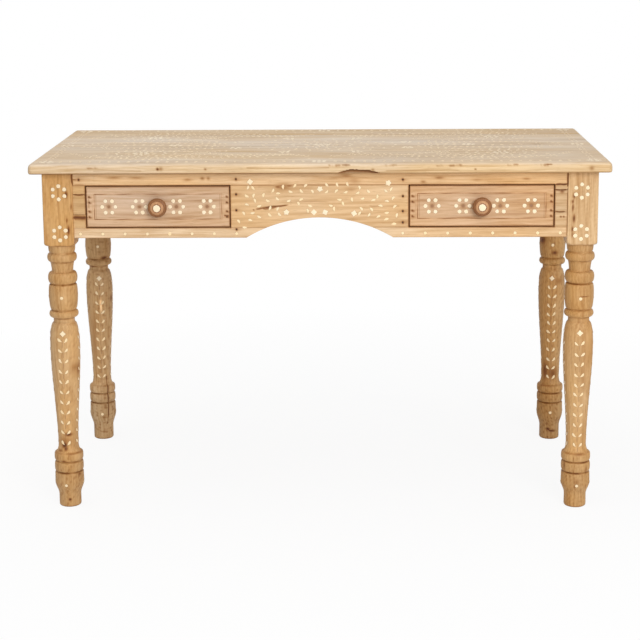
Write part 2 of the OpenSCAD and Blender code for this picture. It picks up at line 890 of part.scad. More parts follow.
module drawer_brads(side, head_d, body_d, extra) {
    for (end = [-1, 1])
        for (up = brad_up) {
            front_pin(side * drawer_mid_x + end * (front_w - side_t) / 2, z_front_mid + up,
                face_y - extra, head_d, nail_head_t + extra);
            front_pin(side * drawer_mid_x + end * (front_w - side_t) / 2, z_front_mid + up,
                face_y, body_d, brad_l + extra);
        }
}

module drawer_front(side) {
    mid = side * drawer_mid_x;
    color(drawer_wood)
        difference() {
            span([mid - front_w / 2, face_y, z_front_mid - front_h / 2],
                [mid + front_w / 2, front_back_y, z_front_mid + front_h / 2]);
            translate([mid, face_y + line_d, z_front_mid])
                rotate([90, 0, 0])
                    linear_extrude(line_d + over)
                        difference() {
                            square([front_w - 2 * line_in, front_h - 2 * line_in], center = true);
                            square([front_w - 2 * line_in - 2 * line_w, front_h - 2 * line_in - 2 * line_w],
                                center = true);
                        }
            translate([mid, 0, 0])
                bone_pocket(face_y)
                    drawer_flowers(petal_d + 2 * bone_gap);
            front_pin(mid, knob_z, face_y - over, screw_d + 2 * hole_gap, front_t + 2 * over);
            drawer_brads(side, brad_head_d + 2 * hole_gap, brad_d + 2 * hole_gap, step);
            span([mid - front_w / 2 + side_t - groove_d, front_back_y - groove_d, panel_z - panel_gap],
                [mid + front_w / 2 - side_t + groove_d, front_back_y + over, panel_z + bottom_t + panel_gap]);
        }
}

// Each side is at end, -1 on the drawer's left and 1 on its right
module drawer_side(side, end) {
    mid = side * drawer_mid_x;
    out = mid + end * front_w / 2;
    inside = out - end * side_t;
    groove = inside + end * groove_d;
    color(inner_wood)
        difference() {
            span([min(out, inside), front_back_y, side_z], [max(out, inside), drawer_end_y, side_z + side_h]);
            span([min(inside - end * over, groove), front_back_y - over, panel_z - panel_gap],
                [max(inside - end * over, groove), drawer_end_y + over, panel_z + bottom_t + panel_gap]);
            drawer_brads(side, brad_head_d + 2 * hole_gap, brad_d + 2 * hole_gap, step);
        }
}

module drawer_back(side) {
    mid = side * drawer_mid_x;
    color(inner_wood)
        span([mid - front_w / 2 + side_t, drawer_end_y - side_t, panel_z + bottom_t],
            [mid + front_w / 2 - side_t, drawer_end_y, side_z + side_h - back_low]);
}

module drawer_bottom(side) {
    mid = side * drawer_mid_x;
    reach = front_w / 2 - side_t + groove_d - panel_gap;
    color(inner_wood)
        span([mid - reach, front_back_y - groove_d + panel_gap, panel_z],
            [mid + reach, drawer_end_y, panel_z + bottom_t]);
}

// Half the outline of a knob: radius against the distance in front of the drawer
function knob_outline() =
    let (rim = 5.5, rim_l = 11, face = knob_neck_l + rim_l, flat_r = button_d / 2 + step,
        crown = knob_l - 2 * step - face)
    concat(
        [[0, 0]],
        swell(0, knob_neck_l, stem_d / 2, knob_r - rim, -2.5),
        swell(knob_neck_l + step, rim_l - step, knob_r - rim, knob_r - rim - step, rim, 12),
        [for (i = [0:6]) let (a = 90 * i / 6) [flat_r + (knob_r - rim - 2 * step - flat_r) * cos(a),
            face + crown * sin(a)]],
        [[0, face + crown]]);

module knob(side) {
    color(knob_wood)
        difference() {
            translate([side * drawer_mid_x, face_y, knob_z])
                rotate([90, 0, 0])
                    rotate_extrude()
                        polygon(knob_outline());
            front_pin(side * drawer_mid_x, knob_z, face_y - screw_grip - step, screw_d + 2 * hole_gap,
                screw_grip + over);
            front_pin(side * drawer_mid_x, knob_z, face_y - knob_l - over, button_d + 2 * bone_gap,
                button_t + over);
        }
}

module knob_button(side) {
    color(bone_colour)
        front_pin(side * drawer_mid_x, knob_z, face_y - knob_l, button_d, button_t);
}

module knob_screw(side) {
    color(steel_colour) {
        front_pin(side * drawer_mid_x, knob_z, front_back_y, screw_head_d, screw_head_t);
        front_pin(side * drawer_mid_x, knob_z, face_y - screw_grip, screw_d, screw_grip + front_t + over);
    }
}

module drawer_nails(side) {
    color(steel_colour)
        drawer_brads(side, brad_head_d, brad_d, 0);
}

module drawer_inlay(side) {
    color(bone_colour)
        translate([side * drawer_mid_x, 0, 0])
            bone_sheet(face_y)
                drawer_flowers(petal_d);
}

leg(-1, -1);  // leg_front_left
leg(1, -1);  // leg_front_right
leg(-1, 1);  // leg_rear_left
leg(1, 1);  // leg_rear_right
top_rail();
bottom_rail(-1);  // bottom_rail_left
bottom_rail(1);  // bottom_rail_right
centre_panel();
end_blocks(-1);  // end_blocks_left
end_blocks(1);  // end_blocks_right
back_apron();
side_apron(-1);  // side_apron_left
side_apron(1);  // side_apron_right
divider(-1);  // divider_left
divider(1);  // divider_right
runner_outer(-1);  // runner_left_outer
runner_inner(-1);  // runner_left_inner
runner_inner(1);  // runner_right_inner
runner_outer(1);  // runner_right_outer
guide(-1);  // guide_left
guide(1);  // guide_right
kicker_outer(-1);  // kicker_left_outer
kicker_inner(-1);  // kicker_left_inner
kicker_inner(1);  // kicker_right_inner
kicker_outer(1);  // kicker_right_outer
drawer_stops();
centre_batten();
top_board(1);  // top_board_1
top_board(2);  // top_board_2
top_board(3);  // top_board_3
top_board(4);  // top_board_4
top_board(5);  // top_board_5
top_screws();
frame_nails();
leg_inlay();
rail_inlay();
panel_inlay();
drawer_front(-1);  // drawer_left_front
drawer_side(-1, -1);  // drawer_left_side_outer
drawer_side(-1, 1);  // drawer_left_side_inner
drawer_back(-1);  // drawer_left_back
drawer_bottom(-1);  // drawer_left_bottom
knob(-1);  // drawer_left_knob
knob_screw(-1);  // drawer_left_knob_screw
drawer_nails(-1);  // drawer_left_nails
drawer_inlay(-1);  // drawer_left_inlay
knob_button(-1);  // drawer_left_knob_button
drawer_front(1);  // drawer_right_front
drawer_side(1, 1);  // drawer_right_side_outer
drawer_side(1, -1);  // drawer_right_side_inner
drawer_back(1);  // drawer_right_back
drawer_bottom(1);  // drawer_right_bottom
knob(1);  // drawer_right_knob
knob_screw(1);  // drawer_right_knob_screw
drawer_nails(1);  // drawer_right_nails
drawer_inlay(1);  // drawer_right_inlay
knob_button(1);  // drawer_right_knob_button
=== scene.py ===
"""Looks of a two-drawer writing desk in bare wood with bone inlay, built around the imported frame."""

import json
import math

import bpy
import numpy as np
from mathutils import Matrix, Vector

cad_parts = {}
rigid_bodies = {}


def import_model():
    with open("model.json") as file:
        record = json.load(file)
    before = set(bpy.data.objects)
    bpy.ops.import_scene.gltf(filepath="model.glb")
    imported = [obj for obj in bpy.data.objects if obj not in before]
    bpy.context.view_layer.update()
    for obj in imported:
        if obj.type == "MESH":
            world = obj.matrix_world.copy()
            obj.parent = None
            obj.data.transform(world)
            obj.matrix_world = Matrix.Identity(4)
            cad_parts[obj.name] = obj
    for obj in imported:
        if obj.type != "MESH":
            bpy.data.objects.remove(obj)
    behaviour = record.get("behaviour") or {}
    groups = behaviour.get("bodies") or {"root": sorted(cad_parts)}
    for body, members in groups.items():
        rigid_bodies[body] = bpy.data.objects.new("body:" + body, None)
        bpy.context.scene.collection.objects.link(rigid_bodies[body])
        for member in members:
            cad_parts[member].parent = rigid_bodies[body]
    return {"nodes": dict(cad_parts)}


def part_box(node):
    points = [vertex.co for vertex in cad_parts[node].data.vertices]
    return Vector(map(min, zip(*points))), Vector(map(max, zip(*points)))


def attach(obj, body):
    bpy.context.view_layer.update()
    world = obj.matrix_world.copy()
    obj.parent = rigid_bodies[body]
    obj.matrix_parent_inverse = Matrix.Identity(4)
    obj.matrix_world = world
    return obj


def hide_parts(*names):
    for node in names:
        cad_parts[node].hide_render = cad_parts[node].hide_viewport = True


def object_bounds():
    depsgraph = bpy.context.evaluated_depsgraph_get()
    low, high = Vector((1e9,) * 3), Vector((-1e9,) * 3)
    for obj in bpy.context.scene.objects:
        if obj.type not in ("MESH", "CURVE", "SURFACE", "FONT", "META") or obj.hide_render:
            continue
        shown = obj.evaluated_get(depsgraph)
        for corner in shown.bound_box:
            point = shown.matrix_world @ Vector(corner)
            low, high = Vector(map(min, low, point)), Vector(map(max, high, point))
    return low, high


bl_info = {
    "name": "Inlaid writing desk",
    "version": (1, 0, 0),
    "blender": (4, 5, 0),
    "location": "View3D > Sidebar > Desk",
    "description": "Looks of a two-drawer writing desk in bare wood with bone inlay",
    "category": "Object",
}

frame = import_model()
CAD_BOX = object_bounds()

MM = 0.001

# Sizes that the part's source gives, in millimetres
INNER_X = 521.0
FACE_Y, BLOCK_FACE_Y, RAIL_THICK = -277.0, -280.0, 22.0
Z_BLOCK, Z_RAIL, Z_OPEN, Z_CLOSE, Z_TOP = 583.0, 600.0, 622.0, 712.0, 740.0
LEG_R, LEG_X, LEG_Y = 32.0, 553.0, 248.0
ARCH_HALF, ARCH_R, ARCH_Z, PANEL_HALF, RAIL_TIP = 155.0, 300.86, 342.14, 188.0, 112.0
DRAWER_X, DRAWER_Z, OPENING_HALF_X, OPENING_HALF_Z, KNOB_OUT = 341.0, 667.0, 153.0, 45.0, 24.0
APRON_HALF_Y, APRON_OUTSIDE = 216.0, 582.0
BOARDS = 5
SIDES = {"left": -1, "right": 1}
# How far a drawer's flowers stand from the middle of its front
FLOWERS_X = (-104, -39, 39, 104)


def box_mm(node):
    """A CAD node's lowest and highest corners, in millimetres."""
    low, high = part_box(node)
    return np.array(low) / MM, np.array(high) / MM


def linear(text):
    """An sRGB hex colour as linear red, green, blue and alpha."""
    parts = [int(text[i : i + 2], 16) / 255 for i in (1, 3, 5)]
    return (*[c / 12.92 if c <= 0.04045 else ((c + 0.055) / 1.055) ** 2.4 for c in parts], 1.0)


def colour_setting(name, description, text):
    return bpy.props.FloatVectorProperty(
        name=name, description=description, subtype="COLOR", size=4, min=0, max=1, default=linear(text)
    )


def number_setting(name, description, default, **limits):
    return bpy.props.FloatProperty(name=name, description=description, default=default, **limits)


def size_setting(name, description, millimetres):
    return number_setting(name, description, millimetres * MM, min=0, max=1, unit="LENGTH")


# ---- Settings that a user would change


class DeskTopSettings(bpy.types.PropertyGroup):
    upper_round: size_setting("Upper edge", "Radius of the top's upper edge", 9)
    lower_round: size_setting("Lower edge", "Radius of the top's lower edge", 4)
    corner_round: size_setting("Corners", "Radius of the top's corners, seen from above", 10)
    seam_easing: size_setting("Seam easing", "How far the boards' edges are worn round at a seam", 0.9)
    chip_height: size_setting("Chip", "Height of the chipped stretch under the front edge", 9.5)
    colour: colour_setting("Top wood", "Middle colour of the sanded top boards", "#D7C1A3")


class DeskFrameSettings(bpy.types.PropertyGroup):
    easing: size_setting("Edge easing", "How far the rails' edges are worn round", 0.8)
    colour: colour_setting("Frame wood", "Middle colour of the rails and the panel", "#DAB484")
    inner_colour: colour_setting("Inner wood", "Middle colour of the wood inside the desk", "#C9A67C")


class DeskLegSettings(bpy.types.PropertyGroup):
    corner_easing: size_setting("Block corners", "Radius of the square block's upright edges", 2)
    wobble: size_setting("Hand turning", "How unevenly the leg is turned", 0.25)
    colour: colour_setting("Leg wood", "Middle colour of the turned legs", "#CDA36E")
    # The rear legs are painted darker as shade, since they stand further back under the desk
    rear_shade: number_setting("Rear tone", "How much darker the rear legs' wood is", -0.05, min=-1, max=1)


class DeskDrawerSettings(bpy.types.PropertyGroup):
    line_in: size_setting("Line inset", "Distance of the scratched line from the front's edge", 16)
    line_width: size_setting("Line width", "Width of the scratched line", 1.4)
    line_depth: size_setting("Line depth", "Depth of the scratched line", 1)
    easing: size_setting("Front easing", "How far the drawer front's edges are worn round", 1.4)
    colour: colour_setting("Drawer wood", "Middle colour of the drawer fronts", "#D1AB83")
    knob_colour: colour_setting("Knob wood", "Middle colour of the turned knobs", "#AE8158")


class DeskInlaySettings(bpy.types.PropertyGroup):
    stand: size_setting("Stand", "How far the bone stands proud of the wood", 0.25)
    lac_rim: size_setting("Lac rim", "How far the lac shows round a piece of bone", 0.35)
    petal: size_setting("Petal", "Diameter of a flower's petals", 8.4)
    leaf: size_setting("Leaf", "Length of a leaf", 10.2)
    bone_colour: colour_setting("Bone", "Colour of the bone pieces", "#F8E8C9")
    lac_colour: colour_setting("Lac", "Colour of the lac that beds the bone", "#A67B55")
    seed: bpy.props.IntProperty(name="Seed", description="Seed of the hand-cut unevenness", default=7)


class DeskStageSettings(bpy.types.PropertyGroup):
    sky: number_setting("Room light", "Strength of the even light all round", 0.43, min=0)
    key: number_setting("Front lamp", "Power of the large lamp in front", 113.0, min=0, unit="POWER")
    side: number_setting("Overhead lamp", "Power of the large lamp overhead", 33.0, min=0, unit="POWER")


# ---- Shapes. All of them are worked out in millimetres


def skin(sections):
    """A closed shell over loops that follow each other, as points and faces that point outwards."""
    count, around = sections.shape[:2]
    points = sections.reshape(-1, 3)
    near = np.arange(count - 1)[:, None] * around + np.arange(around)[None, :]
    turn = np.arange(count - 1)[:, None] * around + np.roll(np.arange(around), -1)[None, :]
    quads = np.stack([near, turn, turn + around, near + around], -1).reshape(-1, 4)
    caps = [list(range(around))[::-1], list(range((count - 1) * around, count * around))]
    faces = quads.tolist() + caps
    a, b, c, d = (points[quads[:, i]] for i in range(4))
    volume = np.einsum("ij,ij->i", a, np.cross(b, c)).sum() + np.einsum("ij,ij->i", a, np.cross(c, d)).sum()
    for cap in caps:
        fan = points[cap]
        volume += (np.cross(fan[1:-1], fan[2:]) @ fan[0]).sum()
    return points, [face[::-1] for face in faces] if volume < 0 else faces


def joined(shells):
    """Several shells as one list of points and one of faces."""
    points, faces, start = [], [], 0
    for shell_points, shell_faces in shells:
        points.append(shell_points)
        faces += [[i + start for i in face] for face in shell_faces]
        start += len(shell_points)
    return np.concatenate(points), faces


def swapped(shell):
    """A shell with X and Y swapped, turned to face outwards again."""
    return shell[0][:, [1, 0, 2]], [face[::-1] for face in shell[1]]


def even(cells):
    """Shares of the way along a side, in even cells."""
    return np.linspace(0, 1, int(max(1, cells)) + 1)


def fine_rows(length, cell, dense_start, dense_end):
    """Shares of the way along a side, 1.2 mm apart within a length of either end."""
    middle = length - dense_start - dense_end
    count = max(1, int(round(middle / cell)))
    places = [0.0, length, *np.arange(0, dense_start, 1.2), *(length - np.arange(0, dense_end, 1.2))]
    places += list(dense_start + middle * np.arange(count + 1) / count)
    return np.unique(np.round(np.clip(places, 0, length), 3)) / length


def arc(y, z, radius, start):
    """Points strictly inside a quarter of an arc, as y and z, clockwise from a direction in degrees."""
    turns = np.radians(np.linspace(start, start - 90, 6)[1:-1])
    return np.stack([y + radius * np.cos(turns), z + radius * np.sin(turns)], 1)


def edge(start, end, rows):
    """Points from one corner of a section to the next; rows are shares of the way."""
    start, end = np.array(start), np.array(end)
    return start + (end - start) * rows[:, None]


def section_loop(front, back, low, high, radii, rows):
    """A board's section as y and z, from the front's lower corner upwards and round.
    radii are those of the corners front low, front high, back high and back low.
    rows are shares of the way along the front, the top, the back and the underside."""
    fl, fh, bh, bl = radii
    return np.concatenate(
        [
            edge((front, low + fl), (front, high - fh), rows[0]),
            arc(front + fh, high - fh, fh, 180),
            edge((front + fh, high), (back - bh, high), rows[1]),
            arc(back - bh, high - bh, bh, 90),
            edge((back, high - bh), (back, low + bl), rows[2]),
            arc(back - bl, low + bl, bl, 0),
            edge((back - bl, low), (front + fl, low), rows[3]),
            arc(front + fl, low + fl, fl, -90),
        ]
    )


def squeezed(loop, front, back, low, high, insets):
    """A section moved in on its front, back, lower and upper side by the four insets."""
    i_front, i_back, i_low, i_high = insets
    y = front + i_front + (loop[:, 0] - front) / (back - front) * (back - front - i_front - i_back)
    z = low + i_low + (loop[:, 1] - low) / (high - low) * (high - low - i_low - i_high)
    return np.stack([y, z], 1)


def inset(distance, radius):
    """How far a rounded end lies in at a distance from that end."""
    d = np.clip(radius - distance, 0, radius)
    return radius - np.sqrt(np.maximum(radius**2 - d**2, 0))


def stations(start, end, cell, ease, extra):
    """Places along a board, closer together in its eased ends and at the extra places."""
    near = ease * (1 - np.cos(np.radians(np.linspace(0, 90, 6))))
    inner = np.linspace(start + ease, end - ease, int((end - start) / cell) + 1)
    places = np.unique(np.round(np.concatenate([start + near, inner, end - near, extra]), 3))
    return places[np.concatenate([[True], np.diff(places) > 0.02])]


def eased_board(low, high, ease, cell, rows, floor=None, extra=()):
    """A board along X between two corners, its edges eased all round.
    floor gives the board's lower side at a place along X, where it isn't straight."""
    sections = []
    for x in stations(low[0], high[0], cell, ease, extra):
        bottom = floor(x) if floor else low[2]
        tall = high[2] - bottom
        sides = low[1], high[1], bottom, high[2]
        loop = section_loop(*sides, (min(ease, 0.45 * tall),) * 4, rows)
        end = min(inset(min(x - low[0], high[0] - x), ease), 0.4 * tall)
        sections.append(np.insert(squeezed(loop, *sides, (end,) * 4), 0, x, 1))
    return skin(np.array(sections))


def sway(points, seed, wave):
    """A slow unevenness over a surface, about 1 high and one wave long."""
    draw = np.random.default_rng(seed)
    total = np.zeros(len(points))
    for _ in range(6):
        way = draw.normal(size=3)
        way /= np.linalg.norm(way)
        length = wave * draw.uniform(0.6, 1.7)
        total += np.sin(points @ way * 2 * math.pi / length + draw.uniform(0, 2 * math.pi))
    return total / 3.5


# ---- Marks. Each is a share from 0 to 1 at every point, laid over the marks that are there


def soft(distance, width):
    """1 on a mark, and fading out over its width."""
    return np.exp(-((distance / width) ** 2))


def spot(a, b, centre_a, centre_b, half_a, half_b):
    """1 in the middle of an oval mark, and fading out over its half sizes."""
    return np.exp(-(((a - centre_a) / half_a) ** 2 + ((b - centre_b) / half_b) ** 2))


def at_face(y, face):
    """1 on a front face, and fading out over the 2 mm behind it."""
    return np.clip(1 - (y - face) / 2.0, 0, 1)


def path_distance(a, b, path):
    """Distance of the points a, b from a path, and how far along the path they lie, from 0 to 1."""
    best, along = np.full(len(a), 1e9), np.zeros(len(a))
    path = np.asarray(path, float)
    for i in range(len(path) - 1):
        p, d = path[i], path[i + 1] - path[i]
        t = np.clip(((a - p[0]) * d[0] + (b - p[1]) * d[1]) / (d @ d), 0, 1)
        gap = np.hypot(a - p[0] - t * d[0], b - p[1] - t * d[1])
        along = np.where(gap < best, (i + t) / (len(path) - 1), along)
        best = np.minimum(gap, best)
    return best, along


def stroke(a, b, path, width, steepness=5, thinnest=0.3):
    """1 on a line that tapers to its thinnest share at both ends, and fading out over its width."""
    gap, along = path_distance(a, b, path)
    return soft(gap, width * np.clip(np.minimum(along, 1 - along) * steepness, thinnest, 1))


def lay(layer, amount):
    """Lays a mark over a layer of marks, in place: the stronger of the two stays."""
    np.maximum(layer, amount, out=layer)


def lay_both(stain_and_shade, depth, near, dark, deep):
    lay(stain_and_shade, dark * near)
    lay(depth, deep * near)


# ---- Objects


def grain_coordinates(points, axis, shift):
    """Places in the wood, with the grain along the first axis, in metres."""
    order = {"X": [0, 1, 2], "Y": [1, 0, 2], "Z": [2, 0, 1]}[axis]
    return points[:, order] * MM + np.asarray(shift)


def place_piece(piece, body, slot, *nodes):
    """The piece rides on a body and stands for its CAD nodes; slot is not used."""
    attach(piece, body)
    if nodes:
        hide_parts(*nodes)


def make_piece(name, shell, slot, grain, marks, body, node, sharp=40):
    """A wooden piece of that shell, at the origin, in metres, with tone, stain and painted shade, and warmth
    as its marks.
    """
    mesh = bpy.data.meshes.new(name)
    mesh.from_pydata((shell[0] * MM).tolist(), [], shell[1])
    for title, values in (("grain_place", grain), ("marks", marks)):
        layer = mesh.attributes.new(title, "FLOAT_VECTOR", "POINT")
        layer.data.foreach_set("vector", np.asarray(values, np.float32).ravel())
    mesh.shade_smooth()
    mesh.set_sharp_from_angle(angle=math.radians(sharp))
    mesh.materials.append(finish(slot))
    piece = bpy.data.objects.new(name, mesh)
    bpy.context.scene.collection.objects.link(piece)
    place_piece(piece, body, slot, node)


# ---- Materials


def add(tree, kind, inputs=(), **settings):
    """Adds one node with its settings. inputs gives its sockets, in order or by key, a value, another
    node's socket, or another node for that one's first socket."""
    node = tree.nodes.new(kind)
    for key, value in settings.items():
        setattr(node, key, value)
    for key, value in inputs.items() if isinstance(inputs, dict) else enumerate(inputs):
        if isinstance(value, bpy.types.Node):
            value = value.outputs[0]
        if isinstance(value, bpy.types.NodeSocket):
            tree.links.new(value, node.inputs[key])
        else:
            node.inputs[key].default_value = value
    return node


def new_material(name):
    """A material and its tree, which has no nodes yet."""
    material = bpy.data.materials.new(name)
    material.use_nodes = True
    material.node_tree.nodes.clear()
    return material, material.node_tree


def shade(colour, factors):
    """A colour times a factor for each of red, green and blue, in linear light."""
    return (*[min(1.0, c * f) for c, f in zip(colour[:3], factors)], 1.0)


def set_stops(ramp, stops):
    """Gives a colour ramp its stops, as position and colour, the first and the last at its two ends."""
    elements = ramp.color_ramp.elements
    elements[0].position, elements[0].color = stops[0]
    elements[1].position, elements[1].color = stops[-1]
    for position, colour in stops[1:-1]:
        elements.new(position).color = colour


def wood(name, colour, contrast, ring_mm, roughness, drift, axis):
    """Bare reclaimed hardwood, sanded and barely waxed: pale, with fine brown fibres, soft growth rings,
    a few dark streaks and a dull sheen. The grain runs along the first axis of grain_place, or along the
    given axis of a CAD node, which has no such layer."""
    material, tree = new_material(name)
    light, dark, brown = (
        shade(colour, [f**contrast for f in factors])
        for factors in ((1.20, 1.28, 1.40), (0.74, 0.63, 0.48), (0.48, 0.35, 0.22))
    )
    if axis:
        place = add(tree, "ShaderNodeTexCoord").outputs["Object"]
        pose = {"Location": (0.3, 0.05, -0.62), "Rotation": (0, 0, -math.pi / 2 if axis == "Y" else 0)}
        place = add(tree, "ShaderNodeMapping", {"Vector": place, **pose}).outputs[0]
    else:
        place = add(tree, "ShaderNodeAttribute", attribute_name="grain_place").outputs["Vector"]
    marks = add(tree, "ShaderNodeAttribute", attribute_name="marks").outputs["Vector"]
    tone, stain_and_shade, warm = add(tree, "ShaderNodeSeparateXYZ", [marks]).outputs

    # The fibres wander sideways by a few millimetres over a hand's length
    slow = add(tree, "ShaderNodeVectorMath", [place, (4, 13, 13)], operation="MULTIPLY")
    wander = add(tree, "ShaderNodeTexNoise", {"Vector": slow, "Scale": 1, "Detail": 2}).outputs
    centred = add(tree, "ShaderNodeVectorMath", [wander["Color"], (0.5, 0.5, 0.5)], operation="SUBTRACT")
    moved = add(tree, "ShaderNodeVectorMath", [centred, (0, 0.013, 0.013)], operation="MULTIPLY")
    bent = add(tree, "ShaderNodeVectorMath", [place, moved], operation="ADD")

    # Growth rings round a pith that leans a little; the wave's period is 0.314 over its scale
    tilted = add(tree, "ShaderNodeMapping", {"Vector": bent, "Rotation": (0, 0.03, 0.045)})
    wave = {"Vector": tilted, "Scale": 314 / ring_mm, "Distortion": 1.6, "Detail": 2.0}
    wave |= {"Detail Scale": 0.6, "Detail Roughness": 0.6}
    rings = add(tree, "ShaderNodeTexWave", wave, wave_type="RINGS", rings_direction="X").outputs["Fac"]

    # Fibres 4 mm wide, lines 1.5 mm wide, dark streaks 8 mm wide, slow clouds in the board, and vessels,
    # which are drawn 1 mm wide so that they show
    patterns = []
    for sizes in ((5, 250, 250), (14, 680, 680), (3.2, 125, 125), (3.4, 20, 20), (42, 1050, 1050)):
        stretched = add(tree, "ShaderNodeVectorMath", [bent, sizes], operation="MULTIPLY")
        noise = {"Vector": stretched, "Scale": 1, "Detail": 3, "Roughness": 0.6}
        patterns.append(add(tree, "ShaderNodeTexNoise", noise).outputs["Fac"])
    fibre, line, streak, cloud, vessel = patterns
    level = add(tree, "ShaderNodeMath", [cloud, 0.36], operation="MULTIPLY")
    for part, share in ((fibre, 0.30), (rings, 0.06), (line, 0.34)):
        level = add(tree, "ShaderNodeMath", [part, share, level], operation="MULTIPLY_ADD")
    ramp = add(tree, "ShaderNodeValToRGB", [level])
    set_stops(ramp, [(0.38, dark), (0.53, colour), (0.68, light)])
    streaks = add(tree, "ShaderNodeMapRange", [streak, 0.55, 0.72, 0, 0.6])
    streaked = add(tree, "ShaderNodeMix", {0: streaks, 6: ramp, 7: dark}, data_type="RGBA").outputs[2]
    vessels = add(tree, "ShaderNodeMapRange", [vessel, 0.60, 0.70, 0, 0.50])
    pored = add(tree, "ShaderNodeMix", {0: vessels, 6: streaked, 7: brown}, data_type="RGBA").outputs[2]

    # Tone lightens or darkens. Warmth turns the wood from pale and pinkish grey to yellow brown, and drifts
    # by itself over a hand's width
    brightness = add(tree, "ShaderNodeMath", [tone, 1.0], operation="ADD")
    toned = add(tree, "ShaderNodeVectorMath", {0: pored, "Scale": brightness}, operation="SCALE")
    patch = add(tree, "ShaderNodeMapRange", [wander["Fac"], 0.3, 0.7, 0.5 - drift, 0.5 + drift])
    warmth = add(tree, "ShaderNodeMath", [warm, 0.5, patch], operation="MULTIPLY_ADD", use_clamp=True)
    pale, yellow = (1.0, 1.08, 1.28, 1), (1.0, 0.89, 0.70, 1)
    hue = add(tree, "ShaderNodeMix", {0: warmth, 6: pale, 7: yellow}, data_type="RGBA").outputs[2]
    worn = add(tree, "ShaderNodeVectorMath", [toned, hue], operation="MULTIPLY")
    # The stain layer holds real stains and painted shade: a little of it turns the wood a warm brown, and all
    # of it nearly black. It follows the fibres at its edge
    ragged = add(tree, "ShaderNodeMath", [line, 1.1, 0.55], operation="MULTIPLY_ADD")
    share = add(tree, "ShaderNodeMath", [stain_and_shade, ragged], operation="MULTIPLY", use_clamp=True)
    darkening = add(tree, "ShaderNodeValToRGB", [share])
    depths = [(0, (1, 1, 1, 1)), (0.25, (0.70, 0.58, 0.46, 1)), (0.5, (0.42, 0.27, 0.16, 1))]
    set_stops(darkening, depths + [(0.75, (0.21, 0.10, 0.045, 1)), (1, (0.09, 0.035, 0.012, 1))])
    stained = add(tree, "ShaderNodeVectorMath", [worn, darkening], operation="MULTIPLY")

    dull = add(tree, "ShaderNodeMapRange", [fibre, 0.3, 0.7, roughness + 0.07, roughness - 0.07])
    pits = add(tree, "ShaderNodeMath", [vessels, -0.8, fibre], operation="MULTIPLY_ADD")
    relief = {"Height": pits, "Strength": 0.35, "Distance": 0.0005}
    looks = {"Base Color": stained, "Roughness": dull, "IOR": 1.5, "Specular IOR Level": 0.3}
    return surfaced(material, relief, looks)


def surfaced(material, relief, looks):
    """Ends a material's tree with its relief and its shader, which are given as their sockets' values."""
    tree = material.node_tree
    shader = add(tree, "ShaderNodeBsdfPrincipled", {**looks, "Normal": add(tree, "ShaderNodeBump", relief)})
    add(tree, "ShaderNodeOutputMaterial", {"Surface": shader})
    return material


def bone(name, colour):
    """Camel bone, sawn thin and sanded with the wood: creamy, each piece a little different,
    with faint grey-brown canals and a soft satin."""
    material, tree = new_material(name)
    place = add(tree, "ShaderNodeTexCoord").outputs["Object"]
    tint = add(tree, "ShaderNodeAttribute", attribute_name="tint").outputs["Fac"]
    stretched = add(tree, "ShaderNodeVectorMath", [place, (900, 900, 260)], operation="MULTIPLY")
    canals = add(tree, "ShaderNodeTexNoise", {"Vector": stretched, "Scale": 1, "Detail": 3}).outputs["Fac"]
    cream, grey = shade(colour, (1.0, 0.89, 0.70)), shade(colour, (0.86, 0.74, 0.55))
    piece = add(tree, "ShaderNodeMix", {0: tint, 6: colour, 7: cream}, data_type="RGBA").outputs[2]
    share = add(tree, "ShaderNodeMapRange", [canals, 0.5, 0.8, 0, 0.35])
    marked = add(tree, "ShaderNodeMix", {0: share, 6: piece, 7: grey}, data_type="RGBA").outputs[2]
    relief = {"Height": canals, "Strength": 0.15, "Distance": 0.0002}
    return surfaced(material, relief, {"Base Color": marked, "Roughness": 0.38, "IOR": 1.54})


def lac(name, colour):
    """Lac mixed with wood dust, pressed round the bone: brown, dull and a little grainy."""
    material, tree = new_material(name)
    place = add(tree, "ShaderNodeTexCoord").outputs["Object"]
    grit = add(tree, "ShaderNodeTexNoise", {"Vector": place, "Scale": 1400, "Detail": 2}).outputs["Fac"]
    dark = shade(colour, (0.62, 0.55, 0.48))
    mixed = add(tree, "ShaderNodeMix", {0: grit, 6: colour, 7: dark}, data_type="RGBA").outputs[2]
    relief = {"Height": grit, "Strength": 0.3, "Distance": 0.0002}
    return surfaced(material, relief, {"Base Color": mixed, "Roughness": 0.55, "IOR": 1.5})


def steel(name, colour, rust):
    """Plain drawn steel nails and screws: grey-brown, dull, with rust in patches a few millimetres wide."""
    material, tree = new_material(name)
    place = add(tree, "ShaderNodeTexCoord").outputs["Object"]
    patches = add(tree, "ShaderNodeTexNoise", {"Vector": place, "Scale": 420, "Detail": 4}).outputs["Fac"]
    share = add(tree, "ShaderNodeMapRange", [patches, 0.6 - rust * 0.3, 0.68, 0, 1])
    brown = linear("#4A2C1A")
    mixed = add(tree, "ShaderNodeMix", {0: share, 6: colour, 7: brown}, data_type="RGBA").outputs[2]
    bare = add(tree, "ShaderNodeMapRange", [share, 0, 1, 0.85, 0.0])
    dull = add(tree, "ShaderNodeMapRange", [share, 0, 1, 0.45, 0.8])
    relief = {"Height": patches, "Strength": 0.4, "Distance": 0.0002}
    return surfaced(material, relief, {"Base Color": mixed, "Metallic": bare, "Roughness": dull})


